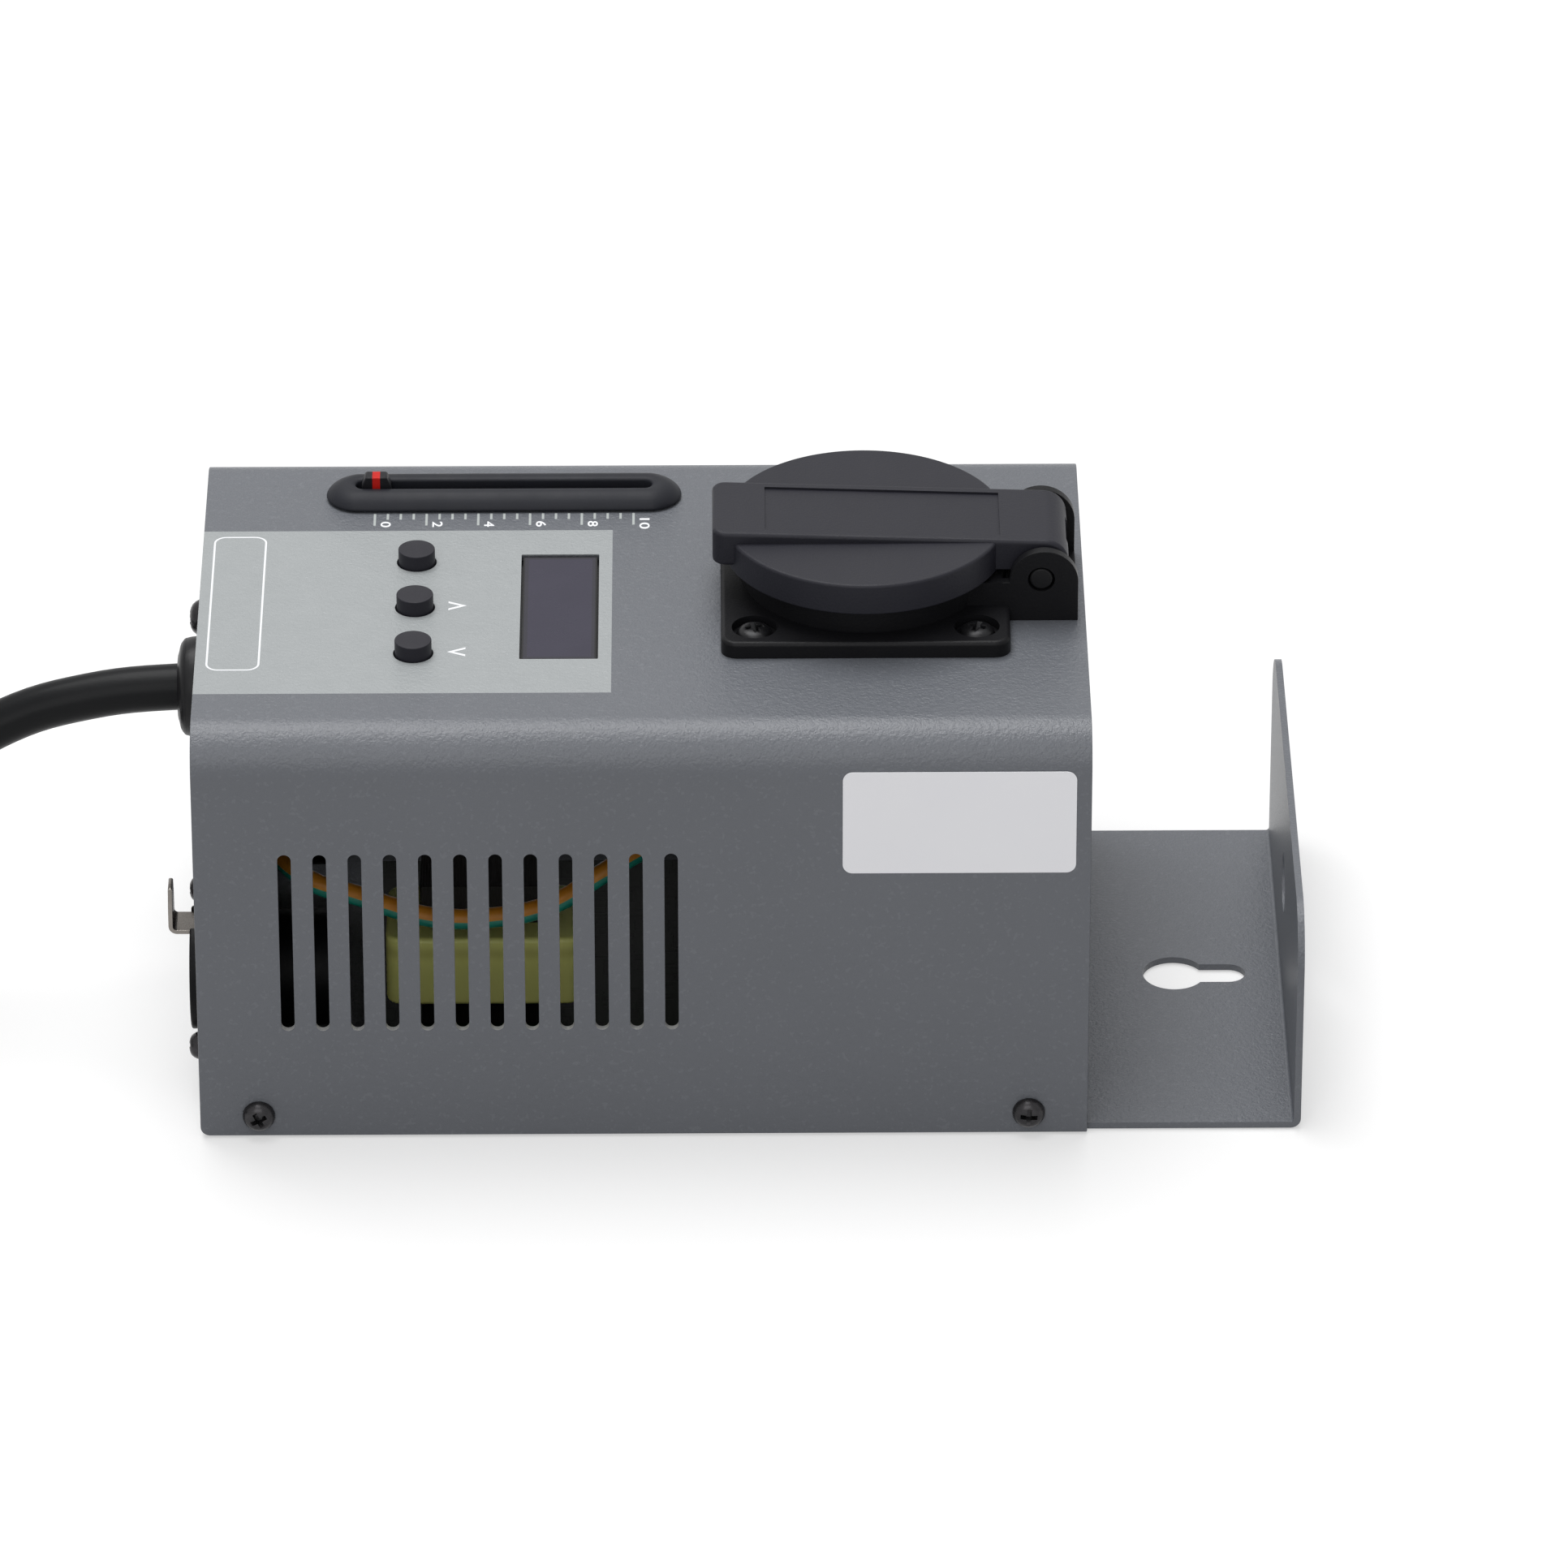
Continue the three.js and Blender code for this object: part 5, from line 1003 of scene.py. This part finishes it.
def makePrinting():
    v = printing
    low, high = case["top"], case["top"] + v["lift"]
    for name, colours in inks.items():
        inkFinish(name, *colours)
    ticks = []
    for k in range(v["ticks"]):
        x, half = v["tickX"] + k * v["tickPitch"], v["tickWidth"] / 2
        end = v["shortTo"] if k % 4 else v["longTo"]
        ticks.append(plate(rectangle(x - half, x + half, end, v["tickFrom"]), low, high))
    finishPiece(gathered(ticks), "scaleTicks", "label", "tickInk")
    x0, x1, y0, y1 = v["legend"]
    line, corner = v["legendLine"], v["legendCorner"]
    hollow = rectangle(x0 + line, x1 - line, y0 + line, y1 - line, corner - line)
    marks = [carved(plate(rectangle(x0, x1, y0, y1, corner), low, high), plate(hollow, low - 1, high + 1))]
    for y, way in v["chevronYs"]:
        tall, wide, thick = v["chevronTall"] / 2 * way, v["chevronWide"] / 2, v["chevronLine"]
        foot, tip, cut = v["chevronX"] - tall, v["chevronX"] + tall, thick * 1.1
        marks.append(plate([
            (foot, y - wide), (tip, y), (foot, y + wide), (foot, y + wide - cut), (tip - way * thick * 2.1, y),
            (foot, y - wide + cut)], low, high))
    for k in range(v["digits"]):
        wide = v["pairWide"] if k == v["digits"] - 1 else v["digitWide"]
        x = v["tickX"] + 4 * k * v["tickPitch"] + v["digitBeside"]
        marks.append(makeDigit(str(2 * k), wide, v["digitTall"], (x, v["digitY"], low)))
    finishPiece(gathered(marks), "panelMarks", "label", "whiteInk")


makePrinting()
print("panel printed")

relief = {"bore": 4.4, "shank": 6.05, "head": 8.8, "rise": 4.2, "inside": -9, "joint": 2.6}
fuse = {"barrel": 5.6, "length": 32, "rim": 7, "rimRise": 1.2, "bore": 3.6, "cap": 5.2, "capRise": 2.5, "plug": 3.2}
connector = {
    "low": -3.7, "flange": (14.5, 12.5, 3), "flangeTop": -1.2, "nose": 10.75, "rise": 1.9, "barrel": 10.2,
    "barrelLength": 20, "mouth": 9.4, "floor": -13.1, "core": 7.3, "coreFoot": -14, "circle": 4.76,
    "contact": 1.2, "contactTip": -1.1, "contactFoot": -13.6, "notch": (7.4, 11.75, -3.7, 3.7),
}
latch = {
    "aboveSocket": 8.6, "inside": 7, "out": 5.6, "thick": 0.8, "tab": 8.4, "half": 3.2, "taper": 0.34,
    "taperFrom": 4.6,
}


def makeRelief():
    v, turn = relief, onPanel(0, glandHeight)
    bore, shank, head, rise = v["bore"], v["shank"], v["head"], v["rise"]
    shape = turned([
        (bore, v["inside"]), (shank, v["inside"], 0.4), (shank, 0), (head, 0, 0.3), (head, 2.2, 1.0),
        (8.1, 3.6, 1.0), (6.1, 4.0, 0.6), (5.6, rise, 0.2), (bore, rise, 0.3)], 96, 4, turn)
    clamp = turned([  # lower half, a little fuller, so that the joint line shows
        (bore, 0.3), (head - 0.5, 0.3), (head + 0.1, 2.25, 1.0), (8.2, 3.7, 1.0), (6.2, 4.1, 0.6),
        (5.7, rise, 0.2), (bore, rise)], 96, 4, turn)
    upper = plate(rectangle(-12, 12, glandHeight - v["joint"], glandHeight + 12), -84, -74, "cross")
    finishPiece(fused(shape, carved(clamp, upper)), "leadBush", "relief_plastic", "reliefPlastic", "strain_relief")


def makeFuse():
    v, turn = fuse, onPanel(fuseY, fuseZ)
    barrel, foot, rim, bore, step = v["barrel"], -v["length"], v["rim"], v["bore"], v["rimRise"]
    holder = turned([
        (0, foot), (barrel, foot, 0.5), (barrel, 0), (rim, 0, 0.15), (rim, step, 0.5), (bore, step, 0.15),
        (bore, foot + 2.2, 0.2), (0, foot + 2.2)], 64, 3, turn)
    finishPiece(holder, "fuseBarrel", "black_plastic", "smallPlastic", "fuse_holder")
    plugRadius, edge, high = v["plug"], v["cap"], v["capRise"]
    cap = turned([
        (0, -8), (plugRadius, -8, 0.4), (plugRadius, step), (edge, step, 0.15), (edge, high, 0.45), (0, high)], 64, 3)
    angles = [math.radians(15 + 30 * k) for k in range(12)]
    notches = [disc(5.45 * math.cos(a), 5.45 * math.sin(a), 0.45, 1.1, 3, sides=12) for a in angles]
    cap = carved(carved(cap, plate(rectangle(-6, 6, -0.6, 0.6), 1.7, 3)), gathered(notches))
    finishPiece(settled(cap, turn), "fuseKnob", "black_plastic", "smallPlastic", "fuse_cap", body="fuse_carrier")


def makeConnector(name, y, isSocket, node):
    v, turn = connector, onPanel(y, dataZ)
    low, high, deep = v["low"], v["rise"], v["low"] - v["barrelLength"]
    halfX, halfY, corner = v["flange"]
    flange = plate(around(0, 0, halfX, halfY, corner), low, v["flangeTop"])
    nose = turned([(0, low), (v["nose"], low), (v["nose"], high, 0.35), (0, high)], 96, 3)
    barrel = turned([(0, deep), (v["barrel"], deep, 0.5), (v["barrel"], low + 1.25), (0, low + 1.25)], 96, 3)
    shape = fused(flange, nose, barrel)
    holes = gathered([
        disc(side * dataScrewZ, side * dataScrewY, openings["dataScrew"], low - 1, 3, sides=16) for side in (1, -1)])
    mouth = turned([(0, v["floor"]), (v["mouth"], v["floor"]), (v["mouth"], 1.6), (9.7, 2.4), (0, 2.4)], 96)
    shape = carved(shape, holes, mouth)
    angles = (0, 2 * math.pi / 3, 4 * math.pi / 3)
    places = [(v["circle"] * math.cos(angle), v["circle"] * math.sin(angle)) for angle in angles]
    if isSocket:
        foot, core = v["coreFoot"], v["core"]
        shape = fused(shape, turned([(0, foot), (core, foot), (core, high, 0.4), (0, high)], 72, 3))
        shape = carved(
            shape, gathered([disc(a, b, v["contact"], -8.1, 3, sides=24) for a, b in places]),
            plate(rectangle(*v["notch"]), -10.1, 3))
    finishPiece(settled(shape, turn), name, "connector_plastic", "connectorPlastic", node)
    if not isSocket:
        foot, tip, radius = v["contactFoot"], v["contactTip"], v["contact"]
        profile = [(0, foot), (radius, foot), (radius, tip, 0.5), (0, tip)]
        pins = [turned(profile, 24, 3, turn @ shifted(a, b)) for a, b in places]
        finishPiece(gathered(pins), f"{name}Pins", "bright_steel", "brightSteel")


def makeLatch():
    v, y = latch, dataYs[0]
    left, z = case["left"], dataZ + v["aboveSocket"]
    root, tip, thick, top = left + v["inside"], left - v["out"], v["thick"], z + v["tab"]
    strip = plate([
        (root, z), (tip, z, 1.5), (tip, top, 0.3), (tip + thick, top, 0.31), (tip + thick, z + thick, 0.7),
        (root, z + thick)], y - v["half"], y + v["half"], "long", 8)
    for side in (1.0, -1.0):  # the thumb tab narrows towards its top
        cut = bmesh.ops.bisect_plane(
            strip, geom=strip.verts[:] + strip.edges[:] + strip.faces[:], clear_outer=True,
            plane_co=(0, y + side * v["half"], z + v["taperFrom"]), plane_no=(0.0, side, v["taper"]))
        rim = [part for part in cut["geom_cut"] if isinstance(part, bmesh.types.BMEdge)]
        bmesh.ops.holes_fill(strip, edges=rim)
    softened(strip, 0.1, 2, 50)
    finishPiece(settled(strip), "latchLever", "bright_steel", "latchSteel", "data_out_latch", body="latch")


makeRelief()
makeFuse()
makeConnector("socketOut", dataYs[0], True, "data_out_socket")
makeConnector("plugIn", dataYs[1], False, "data_in_plug")
makeLatch()
makeScrew("earthScrew", "ground", (case["left"], studY, glandHeight), "left", "earth_stud")
for k, (y, z) in enumerate(dataScrews):
    makeScrew(f"connectorScrew{k + 1}", "data", (case["left"], y, z), "left", f"data_screw_{k + 1}", 0.7 * k)
print("connector panel fitted")


def boardFinish():
    finish = Finish("circuitBoard")
    weave = finish.noise(0.5, 2.0, 0.6)
    cell = finish.node(
        "ShaderNodeTexVoronoi", {"distance": "CHEBYCHEV", "feature": "F2"}, {"Vector": finish.place, "Scale": 190.0})
    tracks = finish.between(abs(cell % 0.28 - 0.14), 0.055, 0.065)
    mask = finish.mix(weave, (0.0022, 0.0050, 0.0028), (0.0032, 0.0075, 0.0040))
    copper = finish.mix(weave, (0.0040, 0.011, 0.0050), (0.0055, 0.015, 0.0065))
    finish.surface(
        finish.mix(tracks, mask, copper), 0.36 + (weave - 0.5) * 0.1, 0.15, finish.bump(tracks, 0.03))


def stripedFinish(name, v):  # stacked sheet or wound tape, the layers told apart along one axis
    finish = Finish(name)
    wander = finish.noise(6) * v["wander"]
    layer = abs((finish.axis(v["axis"]) + wander) % v["pitch"] - v["pitch"] / 2) / (v["pitch"] / 2)
    patch = finish.noise(v["patch"], 3.0, 0.6)
    colour = finish.mix(patch, v["dark"], v["light"])
    colour = finish.mix(finish.between(layer, 0.7, 1.0) * v["lineShare"], colour, v["line"])
    finish.surface(
        colour, v["rough"] + (patch - 0.5) * 0.15, v["specular"], finish.bump(layer, v["depth"]), v["metal"])


def insulationFinish(name, dark, light, lower=None):  # lower is the second colour of a two-coloured wire
    finish = Finish(name)
    patch = finish.noise(5, 3.0, 0.6)
    colour = finish.mix(patch, dark, light)
    if lower:
        half = finish.node("ShaderNodeAttribute", {"attribute_name": "upward"}, output="Fac")
        colour = finish.mix(finish.between(half, 0.10, 0.22), finish.mix(patch, *lower), colour)
    finish.surface(colour, 0.38 + (patch - 0.5) * 0.12, 0.45, finish.bump(finish.noise(0.8), 0.02))


stripes = {
    "coreIron": {
        "axis": 0, "pitch": 0.5, "wander": 0.15, "patch": 4, "dark": (0.011, 0.010, 0.010),
        "light": (0.025, 0.023, 0.021), "line": (0.012, 0.012, 0.012), "lineShare": 0.7, "rough": 0.5,
        "metal": 0.4, "specular": 0.4, "depth": 0.05},
    "windingTape": {
        "axis": 2, "pitch": 13.4, "wander": 0.4, "patch": 7, "dark": (0.95, 0.95, 0.27),
        "light": (0.99, 0.99, 0.36), "line": (0.45, 0.42, 0.10), "lineShare": 0.4, "rough": 0.4,
        "metal": 0.0, "specular": 0.5, "depth": 0.05},
}
sleeves = {  # colours, for the earth wire those of its lower side too
    "earthSleeve": ((0.66, 0.24, 0.02), (0.82, 0.34, 0.03), ((0.01, 0.26, 0.19), (0.02, 0.36, 0.26))),
    "liveSleeve": ((0.10, 0.045, 0.02), (0.14, 0.06, 0.03)),
    "neutralSleeve": ((0.03, 0.08, 0.30), (0.045, 0.12, 0.40)),
}
boughtIn = (  # CAD node, piece, slot, finish and softened edge
    ("control_board", "controlBoard", "circuit_board", "circuitBoard", 0.1),
    ("power_board", "powerBoard", "circuit_board", "circuitBoard", 0.1),
    ("display_module", "displayModule", "black_plastic", "smallPlastic", 0.3),
    ("fader_body", "faderRail", "bright_steel", "brightSteel", 0.25),
    ("choke_core", "chokeCore", "core_iron", "coreIron", 0.2),
    ("heat_sink", "coolingFins", "bare_aluminium", "bareAluminium", 0.2),
    ("triac", "powerSwitch", "black_plastic", "smallPlastic", 0.3),
    ("terminal_block", "terminalBlock", "terminal_plastic", "terminalPlastic", 0.3),
    ("suppression_capacitor", "filmCapacitor", "capacitor_case", "capacitorCase", 0.8),
    ("earth_nut", "groundNut", "bright_steel", "brightSteel", 0.25),
    ("key_switch_front", "keySwitch1", "black_plastic", "smallPlastic", 0.2),
    ("key_switch_middle", "keySwitch2", "black_plastic", "smallPlastic", 0.2),
    ("key_switch_back", "keySwitch3", "black_plastic", "smallPlastic", 0.2),
)
winding = {
    "sides": (-44.8, -10.8, -34.3, -15.3, 2.6), "low": 16, "high": 29.4, "edge": 0.9,
    "window": (-39.1, -16.5, -28.6, -21),
}
wires = {
    "earth": (1.8, [
        (-70.3, 20.6, 60.7), (-69, 8, 52), (-66.5, -14, 47.6), (-62.5, -32, 44.8), (-56, -38.5, 43.2),
        (-50, -38.8, 41.4), (-44, -38.8, 39), (-38, -38.8, 37), (-32, -38.8, 36.3), (-26, -38.8, 36.6),
        (-19.7, -38.8, 37.7), (-13.5, -38.6, 40.3), (-7.4, -37.8, 44.4), (4, -32, 48.6), (18, -20, 48.4),
        (30, -7.5, 46.6), (35.2, 0, 50.1), (36.2, 1, 57.1)]),
    "live": (1.3, [
        (43, -19.5, 20.2), (43, -19.5, 26.8), (39.95, -13.6, 40.8), (41.1, -1.4, 50.1), (41.1, -1.4, 57.1)]),
    "neutral": (1.3, [
        (43, -11.5, 20.2), (43, -11.5, 26.8), (44.15, -6.7, 40.8), (41.1, 3.4, 50.1), (41.1, 3.4, 57.1)]),
}


def makeInside():
    for node, name, slot, finish, edge in boughtIn:
        finishPiece(softened(copyOf(node), edge, 2, 40), name, slot, finish, node)
    low, high = winding["low"], winding["high"]
    tape = plate(rectangle(*winding["sides"]), low, high, segments=6)
    softened(tape, winding["edge"], 3, 60)
    tape = carved(tape, plate(rectangle(*winding["window"]), low - 1, high + 1.6))
    finishPiece(tape, "chokeWinding", "winding_tape", "windingTape", "choke_winding")


def makeWire(key):
    radius, points = wires[key]
    bm = settled(drawn(strand("wire", points, radius, 8, 5)))
    upward = bm.verts.layers.float.new("upward")
    for vert in bm.verts:
        vert[upward] = vert.normal.z
    finishPiece(bm, f"{key}Wire", f"{key}_insulation", f"{key}Sleeve", f"{key}_wire", sharpFrom=60)


boardFinish()
for name, values in stripes.items():
    stripedFinish(name, values)
for name, colours in sleeves.items():
    insulationFinish(name, *colours)
makeInside()
for key in wires:
    makeWire(key)
print("inside wired")


def backgroundRay(tree):  # 1 for the camera, in mirrors and through glass
    path = tree.nodes.new("ShaderNodeLightPath")
    share = path.outputs["Is Camera Ray"]
    for name in ("Is Glossy Ray", "Is Transmission Ray"):
        larger = tree.nodes.new("ShaderNodeMath")
        larger.operation = "MAXIMUM"
        tree.links.new(share, larger.inputs[0])
        tree.links.new(path.outputs[name], larger.inputs[1])
        share = larger.outputs[0]
    return share


def makeStudio():
    v = studio
    world = bpy.data.worlds.new("studio")
    bpy.context.scene.world = world
    world.use_nodes = True
    tree = world.node_tree
    tree.nodes.clear()
    background, output, level = (
        tree.nodes.new(f"ShaderNode{kind}") for kind in ("Background", "OutputWorld", "MapRange"))
    level.inputs["To Min"].default_value = v["sky"]
    tree.links.new(background.outputs[0], output.inputs[0])
    tree.links.new(backgroundRay(tree), level.inputs["Value"])
    tree.links.new(level.outputs[0], background.inputs["Strength"])
    sheet = bmesh.new()
    bmesh.ops.create_grid(sheet, x_segments=1, y_segments=1, size=v["floorHalf"], matrix=shifted(z=v["floorZ"]))
    mesh = bpy.data.meshes.new("floor")
    sheet.to_mesh(mesh)
    sheet.free()
    paper = bpy.data.materials.new("paper")
    paper.use_nodes = True
    tree = paper.node_tree
    tree.nodes.clear()
    kinds = ("BsdfDiffuse", "Emission", "AddShader", "OutputMaterial", "Math")
    matt, glow, both, output, level = (tree.nodes.new(f"ShaderNode{kind}") for kind in kinds)
    matt.inputs[0].default_value = (v["floor"], v["floor"], v["floor"], 1)
    level.operation = "MULTIPLY"
    level.inputs[1].default_value = v["floorGlow"]
    tree.links.new(backgroundRay(tree), level.inputs[0])
    tree.links.new(level.outputs[0], glow.inputs["Strength"])
    tree.links.new(matt.outputs[0], both.inputs[0])
    tree.links.new(glow.outputs[0], both.inputs[1])
    tree.links.new(both.outputs[0], output.inputs[0])
    mesh.materials.append(paper)
    placed("floor", mesh)
    for name, (place, width, power) in v["lamps"].items():
        data = bpy.data.lights.new(name, "AREA")
        data.energy, data.size = power, width
        turn = (Vector(v["aim"]) - Vector(place)).to_track_quat("-Z", "Y").to_matrix().to_4x4()
        placed(name, data).matrix_world = Matrix.Translation(place) @ turn


makeStudio()
print("studio lit")

bpy.context.view_layer.update()
